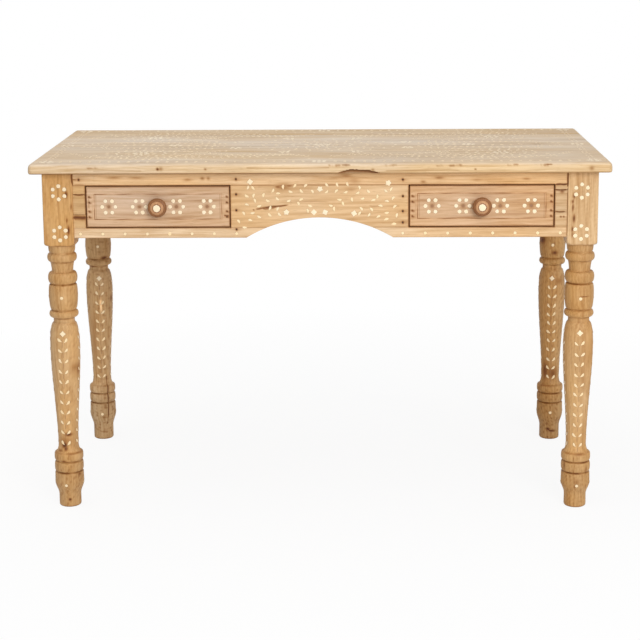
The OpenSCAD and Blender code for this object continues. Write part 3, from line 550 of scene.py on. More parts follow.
# Each wood's settings and the colour among them, its contrast, the distance of its growth rings in
# millimetres, its roughness, how far its warmth drifts, and the axis of the grain in CAD nodes
WOODS = {
    "top_wood": ("desk_top", "colour", 0.88, 8.5, 0.62, 0.22, None),
    "frame_wood": ("desk_frame", "colour", 0.9, 7.5, 0.6, 0.3, None),
    "leg_wood": ("desk_legs", "colour", 1.0, 6.5, 0.56, 0.42, None),
    "drawer_wood": ("desk_drawers", "colour", 0.85, 6.0, 0.6, 0.22, None),
    "knob_wood": ("desk_drawers", "knob_colour", 1.0, 4.0, 0.5, 0.22, None),
    "inner_wood_along": ("desk_frame", "inner_colour", 1.0, 8.0, 0.7, 0.22, "Y"),
    "inner_wood_across": ("desk_frame", "inner_colour", 1.0, 8.0, 0.7, 0.22, "X"),
}
FINISHES = {}


def finish(name):
    """One of the desk's materials, made when it is first asked for."""
    scene = bpy.context.scene
    if name not in FINISHES:
        if name in WOODS:
            group, title, *looks = WOODS[name]
            FINISHES[name] = wood(name, getattr(getattr(scene, group), title), *looks)
        elif name == "bone":
            FINISHES[name] = bone(name, scene.desk_inlay.bone_colour)
        elif name == "lac":
            FINISHES[name] = lac(name, scene.desk_inlay.lac_colour)
        else:
            colour, rust = {"nail_steel": ("#3E3026", 0.6), "screw_steel": ("#8C8780", 0.2)}[name]
            FINISHES[name] = steel(name, linear(colour), rust)
    return FINISHES[name]


def carry_over(node, name):
    """Gives a CAD node that stays in sight its material."""
    materials = frame["nodes"][node].data.materials
    materials.clear()
    materials.append(finish(name))


# ---- Marks of age on the front, as x and z in millimetres

# Spots: x, z, half length, half height, darkness, depth
FRONT_SPOTS = [
    (-87, 708.6, 6, 2.6, 0.55, 0.2), (-64, 710.6, 7, 2.2, 0.48, 0.1), (-75.9, 709.6, 15, 6.5, 0.34, 0),
    (-534.4, 693.7, 3, 7, 0.8, 0.5), (-531.3, 617, 2.5, 9, 0.85, 0.6), (-534, 638.5, 1.8, 5, 0.6, 0.3),
    (-524, 668, 1.3, 6, 0.45, 0.2), (509, 697, 4.5, 4, 0.5, 0.2), (534, 688.4, 2.6, 6, 0.75, 0.5),
    (531, 675.8, 2.2, 4, 0.7, 0.5), (532.1, 663, 2, 8, 0.65, 0.4), (534.4, 640, 2.3, 8, 0.8, 0.5),
    (531.3, 617, 2, 5, 0.7, 0.4), (532.7, 605, 1.6, 6, 0.6, 0.3), (507.2, 643.2, 2, 1.6, 0.75, 0.4),
    (513.3, 643.2, 2, 1.6, 0.75, 0.4), (56, 732, 13, 5, 0.26, 0), (74, 721, 13, 9, 0.18, 0),
    (66, 703, 13, 7, 0.12, 0), (218, 718.4, 5, 2.2, 0.42, 0), (251.5, 726.7, 9, 2.6, 0.4, 0),
    (330.5, 722.2, 10, 2, 0.22, 0), (434.4, 724, 8, 2, 0.35, 0), (-432.6, 728.9, 15, 2.6, 0.3, 0),
    (-386.4, 728.7, 15, 2.6, 0.28, 0), (-277.5, 724.1, 9, 3, 0.3, 0), (-246.1, 727, 4, 3.2, 0.42, 0),
    (-233.5, 727, 3, 3.2, 0.4, 0),
]

# Lines: points, width, darkness, depth
FRONT_LINES = [
    ([(-140, 659.4), (-121, 663.5), (-102, 666.6), (-81, 667.7), (-60, 671)], 1.3, 0.85, 0.9),
    ([(-118, 661.5), (-106, 663.5), (-92, 665)], 2.2, 0.55, 0.2),
    ([(-202.6, 647.9), (-189.5, 647.4)], 1.4, 0.8, 0.6),
    ([(-520.5, 725.5), (-512, 725.7)], 1.2, 0.5, 0.3),
    ([(-520, 693.6), (-508, 692.4), (-496, 693.4)], 1.5, 0.68, 0.4),
    ([(493, 711.5), (505, 712.6), (512, 711.8), (520.5, 712.6)], 1.7, 0.85, 0.6),
    ([(493, 700.6), (506, 699.8), (520.5, 700.9)], 1.5, 0.75, 0.5),
    ([(520.8, 739), (520.2, 722), (520.6, 707)], 1.4, 0.7, 0.5),
    ([(520.5, 704), (520.8, 650), (520.5, 601)], 0.9, 0.3, 0.2),
    ([(-521.4, 740), (-521.8, 730), (-520.4, 714)], 1.5, 0.7, 0.5),
    ([(-520, 713.5), (-506, 714), (-493, 713.5)], 1.2, 0.4, 0.2),
    ([(493, 655), (504, 653.4), (518, 654.2)], 1.3, 0.7, 0.5),
    ([(-522, 643.6), (-514, 644.6), (-502, 643.4), (-492, 644.4)], 4.8, 0.66, 0.4),
    ([(-486.5, 693), (-487.5, 664)], 0.9, 0.3, 0.2),
    ([(20, 727.2), (60, 728.4), (118, 727.5)], 0.9, 0.3, 0.2),
    ([(-60, 676), (-20, 677.5), (30, 676)], 0.8, 0.22, 0.1),
    ([(96, 668), (135, 666), (168, 667)], 0.8, 0.22, 0.1),
]


def islands(node):
    """The separate solids of a CAD node, each as its points in millimetres."""
    mesh = frame["nodes"][node].data
    points = np.zeros(len(mesh.vertices) * 3, np.float32)
    mesh.vertices.foreach_get("co", points)
    points = points.reshape(-1, 3).astype(float) / MM
    corners = np.zeros(len(mesh.loops), np.int32)
    mesh.loops.foreach_get("vertex_index", corners)
    keys, group = np.unique(np.round(points, 3), axis=0, return_inverse=True)
    label = np.arange(len(keys))
    triangles = group.ravel()[corners].reshape(-1, 3)
    before = None
    while not np.array_equal(before, label):
        before = label.copy()
        smallest = label[triangles].min(1)
        for i in range(3):
            np.minimum.at(label, triangles[:, i], smallest)
        label = label[label]
    return [keys[label == found] for found in np.unique(label)]


def nail_places(node):
    """Where a CAD node's nails stand, as x, y and z of their heads."""
    ends = [(piece.min(0), piece.max(0)) for piece in islands(node)]
    return [((low[0] + high[0]) / 2, low[1], (low[2] + high[2]) / 2) for low, high in ends]


def front_marks(points, nails):
    """Stain and depth at points of the desk's front; the frame's has nails, and grime and painted shade round
    the drawer openings.
    """
    x, z = points[:, 0], points[:, 2]
    stain_and_shade, depth = np.zeros(len(points)), np.zeros(len(points))
    for cx, cz, rx, rz, dark, deep in FRONT_SPOTS:
        lay_both(stain_and_shade, depth, spot(x, z, cx, cz, rx, rz), dark, deep)
    for path, width, dark, deep in FRONT_LINES:
        lay_both(stain_and_shade, depth, stroke(x, z, path, width, 6, 0.25), dark, deep)
    # Grime and painted shade in a band round each drawer opening, at the gap
    for side in SIDES.values() if nails else ():
        to_x, to_z = np.abs(x - side * DRAWER_X) - OPENING_HALF_X, np.abs(z - DRAWER_Z) - OPENING_HALF_Z
        grime_and_gap_shade = 0.60 + 0.14 * np.sin(x / 23 + side) * np.sin(z / 15)
        lay(stain_and_shade, grime_and_gap_shade * soft(np.maximum(to_x, to_z), 1.4))
    for cx, _, cz in nails:
        gap = np.hypot(x - cx, (z - cz) * 0.9)
        lay(stain_and_shade, 0.9 * soft(gap, 2.6))
        lay(stain_and_shade, 0.20 * spot(x, z, cx, cz, 11, 3.0))
        lay(depth, 0.7 * soft(gap, 3.0))
    return stain_and_shade, depth


# ---- Pieces

# Where each board's grain lies in its tree, in metres
BOARD_GRAIN = [
    (0.2, 0.31, -0.70), (1.9, 0.02, -0.72), (3.1, -0.02, -0.80), (4.4, -0.20, -0.72), (6.2, -0.29, -0.69)
]
# Dark checks in the boards' faces: x, y, half length, darkness
BOARD_CHECKS = [
    (486, 2, 12, 0.75), (300, -118, 30, 0.3), (-210, 84, 26, 0.3), (150, 190, 24, 0.25), (-420, -60, 18, 0.3)
]
# On the top's front edge. Cracks and bruises: x from, x to, height, darkness; and how a crack rises
EDGE_CRACKS = [
    (14, 72, 757.6, 0.55), (133, 168, 757.4, 0.3), (243, 258, 756.6, 0.3), (262, 303, 757.0, 0.45),
    (388, 418, 757.4, 0.38), (455, 490, 757.4, 0.65), (-486, -462, 753.6, 0.3),
]
EDGE_CRACK_SHAPE = ((0, 0), (0.3, -0.7), (0.7, 0.4), (1, -0.3))
# Pits: x, z, radius, darkness
EDGE_PITS = [
    (-336.7, 750.6, 2.6, 0.95), (-330, 751.2, 4.0, 0.35), (-237.0, 750.4, 2.2, 0.5),
    (325.1, 748.6, 1.6, 0.7), (112, 748, 3.0, 0.35), (566, 750, 4.5, 0.35),
]
# Long shakes: points, darkness
EDGE_SHAKES = [
    ([(-470, 747.5), (-430, 748.3), (-372, 747.2)], 0.28), ([(140, 745.8), (210, 747.0), (290, 746.2)], 0.25),
    ([(-150, 752.5), (-60, 751.5), (20, 752.6)], 0.25),
]


def top_board(index, settings):
    """One board of the top. The first has the front edge and the last the back edge."""
    low, high = box_mm(f"top_board_{index}")
    upper, lower = settings.upper_round / MM, settings.lower_round / MM
    corner, worn = settings.corner_round / MM, settings.seam_easing / MM
    is_front, is_back = index == 1, index == BOARDS
    radii = (lower, upper) if is_front else (0.4, worn)
    radii += (upper, lower) if is_back else (worn, 0.4)
    width = high[1] - low[1]
    rows = [even(6 if is_front else 4), fine_rows(width, 5, 10 * is_front, 0)]
    rows += [even(4), fine_rows(width, 12, 0, 16 * is_front)]
    ends = np.array([0, 0.12, 0.5, 1.1, 2.0, 3.1, 4.4, 5.8, 7.2, 8.6, 10.0])
    cell = 2.2 if is_front else 4.5
    inner = np.arange(low[0] + 12, high[0] - 12 + cell / 2, cell)
    sides = low[1], high[1], low[2], high[2]
    sections = []
    for x in np.concatenate([low[0] + ends, inner, high[0] - ends[::-1]]):
        gap = min(x - low[0], high[0] - x)
        at_corner = inset(gap, corner)
        insets = (at_corner * is_front, at_corner * is_back, inset(gap, lower), inset(gap, upper))
        sections.append(np.insert(squeezed(section_loop(*sides, radii, rows), *sides, insets), 0, x, 1))
    points, faces = skin(np.array(sections))
    start = points.copy()
    # x, y and z are views: what changes them moves the points
    x, y, z = points.T
    stain_and_shade = np.zeros(len(points))
    # The sanded face is a little wavy, and each board is slightly hollow across
    z -= np.where(z > high[2] - 1.5, 0.18 + 0.14 * sway(start, 20 + index, 130), 0)
    np.minimum(z, high[2], out=z)
    seam_gap = np.minimum(1e3 if is_front else y - low[1], 1e3 if is_back else high[1] - y)
    lay(stain_and_shade, 0.16 * soft(seam_gap, 1.3) * (z > low[2] + 3))
    if is_front:
        wear_and_shade_front_edge(x, y, z, start, stain_and_shade, low, settings.chip_height / MM)
    for cx, cy, reach, dark in BOARD_CHECKS:
        near = spot(x, y, cx, cy, reach, 2.6) * (z > high[2] - 2)
        lay(stain_and_shade, dark * near)
        z -= 0.5 * dark * near
    # From front to back the face is greyish, then beige, bleached, and pinkish brown at the back
    bands = (-305, -235, -215, -80, -60, 30, 45, 115, 135, 183, 190, 305)
    tones = np.interp(y, bands, (0.01, 0.01, -0.03, -0.03, 0, 0, 0.06, 0.06, 0.01, -0.01, -0.04, -0.04))
    warmth = np.interp(y, bands, (-0.1, -0.1, 0.25, 0.25, -0.1, -0.2, -0.5, -0.5, 0, 0.1, 0.55, 0.55))
    # The front edge is lit and handled more than the face, and is the yellower for it
    at_front = np.clip((low[1] + 7 - y) / 5, 0, 1) * np.clip((high[2] - 1 - z) / 6, 0, 1) * is_front
    warmth += at_front * (np.interp(x, (-600, 600), (0.6, 0.9)) - warmth)
    tones += at_front * np.interp(x, (-600, 600), (0.065, 0.005))
    grain = grain_coordinates(start, "X", BOARD_GRAIN[index - 1])
    marks = np.column_stack([tones, stain_and_shade, warmth])
    make_piece(f"top_plank_{index}", (points, faces), "top_wood", grain, marks, "frame", f"top_board_{index}")


# The chip's outline: x, share of its height
CHIP = [(20, 0), (36, 0.2), (50, 0.62), (60, 0.88), (66, 1.0), (84, 0.92), (104, 0.82), (120, 0.42), (146, 0)]


def wear_and_shade_front_edge(x, y, z, start, stain_and_shade, low, chip_height):
    """Wears the front board's edge and paints shade under it and on its chip; x, y and z are views of its
    points.
    """
    edge_y = low[1] + 8
    nose = np.clip((low[1] + 12 - y) / 6, 0, 1)
    y += nose * 0.35 * (1 + sway(start * [1, 0, 0], 3, 95))
    for x0, x1, up, dark in EDGE_CRACKS:
        path = [(x0 + (x1 - x0) * share, up + rise) for share, rise in EDGE_CRACK_SHAPE]
        ragged = np.clip(0.95 + 0.35 * np.sin(x * 0.33 + x0) + 0.2 * np.sin(x * 0.9 + 1), 0.3, 1.5)
        near = stroke(x, z, path, 1.2 * ragged) * (y < edge_y)
        lay(stain_and_shade, dark * near)
        y += 0.7 * dark * near
        z -= 0.3 * dark * near
    for cx, cz, size, dark in EDGE_PITS:
        near = soft(np.hypot(x - cx, z - cz), size) * (y < edge_y)
        lay(stain_and_shade, dark * near)
        y += 0.8 * dark * near
    for path, dark in EDGE_SHAKES:
        lay(stain_and_shade, dark * soft(path_distance(x, z, path)[0], 0.9) * (y < low[1] + 6))
    # The chipped stretch: broken upwards from the underside, steep on its left and long on its right
    contour = np.interp(x, *zip(*CHIP))
    ragged = 0.22 * np.sin(x * 0.9) + 0.16 * np.sin(x * 2.3 + 1)
    inwards = 1.5 * (y - low[1])
    broken_to = low[2] + (chip_height * contour + ragged) * (contour > 0) - inwards
    broken = (z < broken_to) & (contour > 0)
    # Painted shade, with some stain, on the break: darkest along its upper edge and lighter below it
    chip_stain_and_shade = np.interp(inwards, (0, 3.0, 6), (0.88, 0.66, 0.32)) * np.interp(x, (28, 50, 66), (0.5, 0.8, 1))
    lay(stain_and_shade, np.where(broken, chip_stain_and_shade, 0))
    z[:] = np.where(broken, broken_to, z)
    # Painted shade along the lower edge, under the overhang
    shade_under_edge = soft(np.maximum(z - low[2] - 0.5, 0), 1.6) * (y < edge_y)
    lay(stain_and_shade, shade_under_edge * np.interp(x, (-600, 40, 60, 600), (0.55, 0.5, 0.3, 0.3)))


def front_piece(name, shell, shift, tone, warmth, node, more=None, body="frame", slot="frame_wood"):
    """A piece of the front with its marks of age. more changes points and marks further."""
    points, faces = shell
    start = points.copy()
    face = FACE_Y if body == "frame" else start[:, 1].min()
    front = at_face(start[:, 1], face)
    stain_and_shade, depth = front_marks(start, nail_places("frame_nails") if body == "frame" else [])
    points[:, 1] += depth * front + front * 0.10 * (1 + sway(start, len(name), 70))
    marks = np.column_stack([np.full(len(points), tone), stain_and_shade * front, np.full(len(points), warmth)])
    if more:
        more(points, marks, start)
    make_piece(name, (points, faces), slot, grain_coordinates(start, "X", shift), marks, body, node)


def dusty_shaded_edges(low, high, size, dark, tones=(0, 0), warmths=(0, 0)):
    """Grime, and painted shade in the seams and under the top, along a piece's own edges on the front, and
    how tone and warmth change along it.
    """

    def change(points, marks, start):
        inside = np.minimum(start - low, high - start)
        lay(marks[:, 1], dark * soft(np.minimum(inside[:, 0], inside[:, 2]), size))
        share = (start[:, 0] - low[0]) / (high[0] - low[0])
        marks[:, 0] += np.interp(share, (0, 1), tones)
        marks[:, 2] += np.interp(share, (0, 1), warmths)

    return change


def panel_floor(x, lowest=Z_OPEN):
    """The lower side of the panel under the arch, at a place along X."""
    return max(lowest, ARCH_Z + math.sqrt(max(ARCH_R**2 - x * x, 0)))


def rail_floor(x):
    """The lower side of the lower rails, which the arch cuts too."""
    return panel_floor(x, Z_RAIL) if abs(x) < ARCH_HALF else Z_RAIL


def make_front_frame(settings):
    """The rails, the panel with its arch and the stacked end blocks, all flush at the front."""
    ease = settings.easing / MM
    rest = [even(2), even(3), even(2)]

    def corners(x_low, x_high, z_low, z_high):
        return np.array([x_low, FACE_Y, z_low]), np.array([x_high, FACE_Y + RAIL_THICK, z_high])

    low, high = corners(-INNER_X, INNER_X, Z_CLOSE, Z_TOP)
    shell = eased_board(low, high, ease, 2.1, [even(13), *rest])
    # Each piece's edges on the front take grime and painted shade in the seams
    worn = dusty_shaded_edges(low, high, 1.3, 0.36, (0.11, 0.03), (-0.45, 0.05))
    front_piece("upper_rail", shell, (0.4, 0.33, -0.68), 0, 0, "top_rail", worn)
    low, high = corners(-PANEL_HALF, PANEL_HALF, Z_OPEN, Z_CLOSE)
    shell = eased_board(low, high, ease, 1.7, [even(48), even(2), even(10), even(3)], panel_floor)
    worn = dusty_shaded_edges(low, high, 1.1, 0.16)
    front_piece("arched_panel", shell, (2.3, 0.315, -0.71), 0, 0, "centre_panel", worn)
    for name, side in SIDES.items():
        is_left = side < 0
        low, high = corners(*sorted((side * RAIL_TIP, side * INNER_X)), Z_RAIL, Z_OPEN)
        shell = eased_board(low, high, ease, 2.0, [even(11), *rest], rail_floor, [side * ARCH_HALF])
        shift = (5.0 + side, 0.30, -0.55 - 0.02 * side)
        tone, warmth = (0.07, -0.9) if is_left else (0.01, -0.3)
        worn = dusty_shaded_edges(low, high, 1.1, 0.22)
        front_piece(f"lower_rail_{name}", shell, shift, tone, warmth, f"bottom_rail_{name}", worn)
        shells, tones = [], []
        blocks = sorted(islands(f"end_blocks_{name}"), key=lambda p: p[:, 2].min())
        for block, own_tone in zip(blocks, (0.03, -0.02, 0.04)):
            low, high = block.min(0), block.max(0)
            shells.append(eased_board(low, high, ease * 0.8, 1.6, [even((high[2] - low[2]) / 1.8), *rest]))
            tones += [(-0.16 if is_left else -0.10) + own_tone] * len(shells[-1][0])
        shift, warmth = (7.0 + side, 0.29, -0.60), 0.9 if is_left else -0.5
        front_piece(f"stacked_blocks_{name}", joined(shells), shift, tones, warmth, f"end_blocks_{name}")


def make_aprons(settings):
    """The back and side aprons between the legs."""
    ease = settings.easing / MM
    low, high = box_mm("back_apron")
    low[0], high[0] = -INNER_X, INNER_X
    shell = eased_board(low, high, ease, 4.5, [even(6), even(3), even(30), even(3)])
    x, y, z = shell[0].T
    # Painted shade along the upper edge, under the top
    stain_and_shade = 0.12 * soft(z - Z_TOP, 5)
    for path in (
        [(-420, 655), (-300, 660), (-190, 657)],
        [(60, 700), (190, 696), (330, 701)],
        [(250, 628), (340, 631), (430, 629)],
    ):
        near = soft(path_distance(x, z, path)[0], 1.6) * (y > high[1] - 1.5)
        lay(stain_and_shade, 0.5 * near)
        y -= 0.6 * near
    marks = np.column_stack([np.full(len(x), -0.05), stain_and_shade, np.zeros(len(x))])
    grain = grain_coordinates(shell[0], "X", (8.1, -0.20, -0.66))
    make_piece("rear_apron", shell, "frame_wood", grain, marks, "frame", "back_apron")
    for name, side in SIDES.items():
        low, high = box_mm(f"side_apron_{name}")
        low[1], high[1] = -APRON_HALF_Y, APRON_HALF_Y
        rows = [even(30 if side < 0 else 6), even(3), even(30 if side > 0 else 6), even(3)]
        shell = swapped(eased_board(low[[1, 0, 2]], high[[1, 0, 2]], ease, 4.0, rows))
        x, y, z = shell[0].T
        stain_and_shade = np.zeros(len(x))
        outside = np.abs(x - side * APRON_OUTSIDE) < 1.5
        for path in ([(-120, 652), (-40, 655), (20, 651)], [(40, 706), (110, 709), (180, 705)]):
            lay(stain_and_shade, 0.5 * soft(path_distance(y, z, path)[0], 1.5) * outside)
        marks = np.column_stack([np.full(len(x), -0.04 + 0.02 * side), stain_and_shade, np.zeros(len(x))])
        grain = grain_coordinates(shell[0], "Y", (9.0 + side, -side * 0.53, -0.64))
        make_piece(f"end_apron_{name}", shell, "frame_wood", grain, marks, "frame", f"side_apron_{name}")


# The leg's turning, as in the part's source, in millimetres
RING_R, GROOVE_R, NECK_R, WAIST_R, ANKLE_R, CUP_R = 31.5, 26.0, 22.7, 21.8, 24.0, 28.8
RING_END_R, BARREL_END_R, STEP, FOOT_H, REAR_LIFT = 30.0, 28.5, 0.5, 77.0, 15.0


def swell(z, height, start, end, out, steps=14):
    """A bead from one radius to another, as radius and height."""
    turns = np.linspace(0, math.pi, steps + 1)
    share = (1 - np.cos(turns)) / 2
    return [(start + (end - start) * s + out * math.sin(t), z + height * s) for t, s in zip(turns, share)]


def ease_curve(z, height, start, end, steps=20):
    """A soft curve from one radius to another, as radius and height."""
    shares = np.linspace(0, 1, steps + 1)
    return [(start + (end - start) * s * s * (3 - 2 * s), z + height * s) for s in shares]


def leg_outline(lift):
    """Half the outline of the turned part, as radius and height, with its turning raised by a lift."""
    quarter = np.radians(np.linspace(0, 90, 9))
    foot = FOOT_H + lift
    points = [(ANKLE_R - 4 * (1 - math.sin(t)), 4 * (1 - math.cos(t))) for t in quarter]
    points += ease_curve(foot * 0.35, foot * 0.36, ANKLE_R, RING_R)
    points += [(RING_R - STEP, foot), (GROOVE_R + STEP, foot + 2)]
    points += swell(81 + lift, 20, RING_END_R, RING_END_R, 1.5) + [(GROOVE_R + STEP, 103 + lift)]
    points += swell(105 + lift, 17, RING_END_R, RING_END_R, 1.5)
    flare = RING_END_R - STEP - WAIST_R
    points += [(WAIST_R + flare * (1 - math.sin(t)), 122.5 + lift + 18 * (1 - math.cos(t))) for t in quarter]
    points += ease_curve(141 + lift, 220, WAIST_R, LEG_R, 50)
    shoulder = LEG_R - NECK_R - 1
    points += [(NECK_R + 1 + shoulder * math.cos(t), 361 + lift + 51 * math.sin(t)) for t in quarter]
    points += [(NECK_R, 414.4 + lift), (NECK_R, 421.6 + lift)]
    points += swell(424 + lift, 15, GROOVE_R, GROOVE_R, 5.5) + [(GROOVE_R - STEP, 440 + lift)]
    points += swell(441 + lift, 55, BARREL_END_R - 1.5, BARREL_END_R, 3.4, 24)
    points += [(GROOVE_R - STEP, 497 + lift)]
    points += swell(498 + lift, 25, GROOVE_R, GROOVE_R, 5.5, 18)
    points += swell(523.5 + lift, 22 - lift * 0.6, NECK_R + STEP, GROOVE_R, -1)
    points += swell(546 + lift * 0.4, 18, GROOVE_R + STEP, GROOVE_R + STEP, 5)
    points += [(GROOVE_R, 565 + lift * 0.4)]
    cup = 17 - lift * 0.4
    points += [(26.5 + (CUP_R - 26.5) * math.sin(t), Z_BLOCK - cup * math.cos(t)) for t in quarter]
    # The long taper needs fewer points than the beads
    return resampled(np.array(points), 1.3, 2.6, (152 + lift, 352 + lift))


def resampled(outline, fine, coarse, calm):
    """An outline with points a fine step apart, or coarse within the calm stretch of heights."""
    gaps = np.hypot(*np.diff(outline, axis=0).T)
    along = np.concatenate([[0], np.cumsum(gaps)])
    keep = np.concatenate([[True], gaps > 1e-6])
    along, outline = along[keep], outline[keep]
    places, at = [0.0], 0.0
    while at < along[-1]:
        at += coarse if calm[0] < np.interp(at, along, outline[:, 1]) < calm[1] else fine
        places.append(min(at, along[-1]))
    dense = np.stack([np.interp(places, along, outline[:, i]) for i in (0, 1)], 1)
    # Sanding takes the crisp corners off
    dense[1:-1] = dense[1:-1] * 0.5 + (dense[:-2] + dense[2:]) * 0.25
    return dense


def leg_radius(height, outline):
    """Radius of the turned part at a height."""
    order = np.argsort(outline[:, 1], kind="stable")
    return float(np.interp(height, outline[order, 1], outline[order, 0]))


def square_reach(turns, half, corner):
    """Distance from the middle to the side of a square with rounded corners, in each direction."""
    c, s = np.abs(np.cos(turns)), np.abs(np.sin(turns))
    flat, inner, both = half / np.maximum(c, s), half - corner, c + s
    rounded = inner * both + np.sqrt(np.maximum(inner**2 * both**2 - 2 * inner**2 + corner**2, 0))
    return np.where(flat * np.minimum(c, s) <= inner, flat, rounded)


# Each leg's seed, the place of its grain in metres, its looks as tone and warmth of the turned part and of
# the block, and its marks, at a direction from the front in degrees and a height:
# spots: direction, height, half width, half height, darkness, depth
# streaks, worn pale: direction, height, half width, half height
# cracks: points, width, darkness, depth
LEGS = {
    "front_left": {
        "seed": 31,
        "shift": (0.3, 0.018, -0.022),
        "looks": (-0.01, 0, -0.02, 1.2),
        "spots": [
            (12, 165, 8, 4, 0.75, 0.3), (-14, 141, 6, 7, 0.85, 0.6), (-6, 133, 4, 5, 0.7, 0.3),
            (70, 311, 7, 13, 0.4, 0.3), (50, 316, 13, 10, 0.24, 0), (8, 18, 3.2, 3, 0.7, 0.5),
            (55, 75, 3.5, 3.5, 0.55, 0.3), (-12, 106, 5, 3, 0.5, 0.2), (-40, 128, 7, 3, 0.4, 0),
            (-10, 150, 14, 10, 0.3, 0),
        ],
        "streaks": [(-50, 540, 10, 20), (10, 470, 12, 14)],
        "cracks": [([(45, 40), (52, 60), (44, 88)], 0.7, 0.4, 0.4)],
    },
    "front_right": {
        "seed": 32,
        "shift": (1.7, -0.024, -0.018),
        "looks": (-0.045, 0.5, 0.07, -1.5),
        "spots": [
            (14, 471, 10, 0.9, 0.6, 0.3), (-58, 95, 3, 12, 0.4, 0.2), (10, 122, 14, 3, 0.35, 0),
            (0, 60, 5, 8, 0.25, 0), (40, 86, 4, 10, 0.3, 0.2), (20, 300, 7, 60, 0.16, 0),
        ],
        "streaks": [(-8, 470, 12, 16), (34, 250, 10, 60)],
        "cracks": [([(-16, 120), (-12, 96), (-18, 66)], 0.7, 0.35, 0.3)],
    },
    "rear_left": {
        "seed": 33,
        "shift": (3.2, 0.03, 0.012),
        "looks": (0, -0.3, 0, 0),
        "spots": [(38, 459, 9, 4, 0.7, 0.3), (70, 357, 4, 8, 0.6, 0.3), (-30, 250, 9, 70, 0.2, 0)],
        "streaks": [(13, 343, 3.2, 15), (-20, 130, 12, 20)],
        "cracks": [([(38, 160), (33, 120), (35, 84), (30, 40)], 1.3, 0.75, 1.4)],
    },
    "rear_right": {
        "seed": 34,
        "shift": (4.9, -0.012, 0.026),
        "looks": (-0.06, 0.6, 0, 0),
        "spots": [
            (-60, 500, 11, 10, 0.65, 0.2), (5, 470, 7, 5, 0.6, 0.3), (-40, 174, 8, 22, 0.5, 0.2),
            (10, 168, 12, 16, 0.45, 0.1), (-14, 27, 5, 3, 0.75, 0.5), (12, 22, 8, 2.4, 0.75, 0.5),
            (-20, 560, 16, 12, 0.4, 0), (30, 400, 12, 8, 0.25, 0),
        ],
        "streaks": [(20, 330, 8, 40)],
        "cracks": [([(-24, 30), (0, 22), (26, 20)], 1.5, 0.8, 1)],
    },
}
# Dust and painted shade in the grooves between the beads, as height and darkness, on the turning that is
# raised at the back
GROOVE_DUST_AND_SHADE = [
    (79, 0.4), (103, 0.38), (122.6, 0.22), (414, 0.1), (422.5, 0.42), (440, 0.2), (497, 0.34), (523, 0.16)
]
# The radius at which a leg's cracks were measured, the height over which the wood is darker and warmer, and
# the one under which its foot darkens
CRACK_R, DARK_FROM, DARK_UNDER = 28, 425, 130


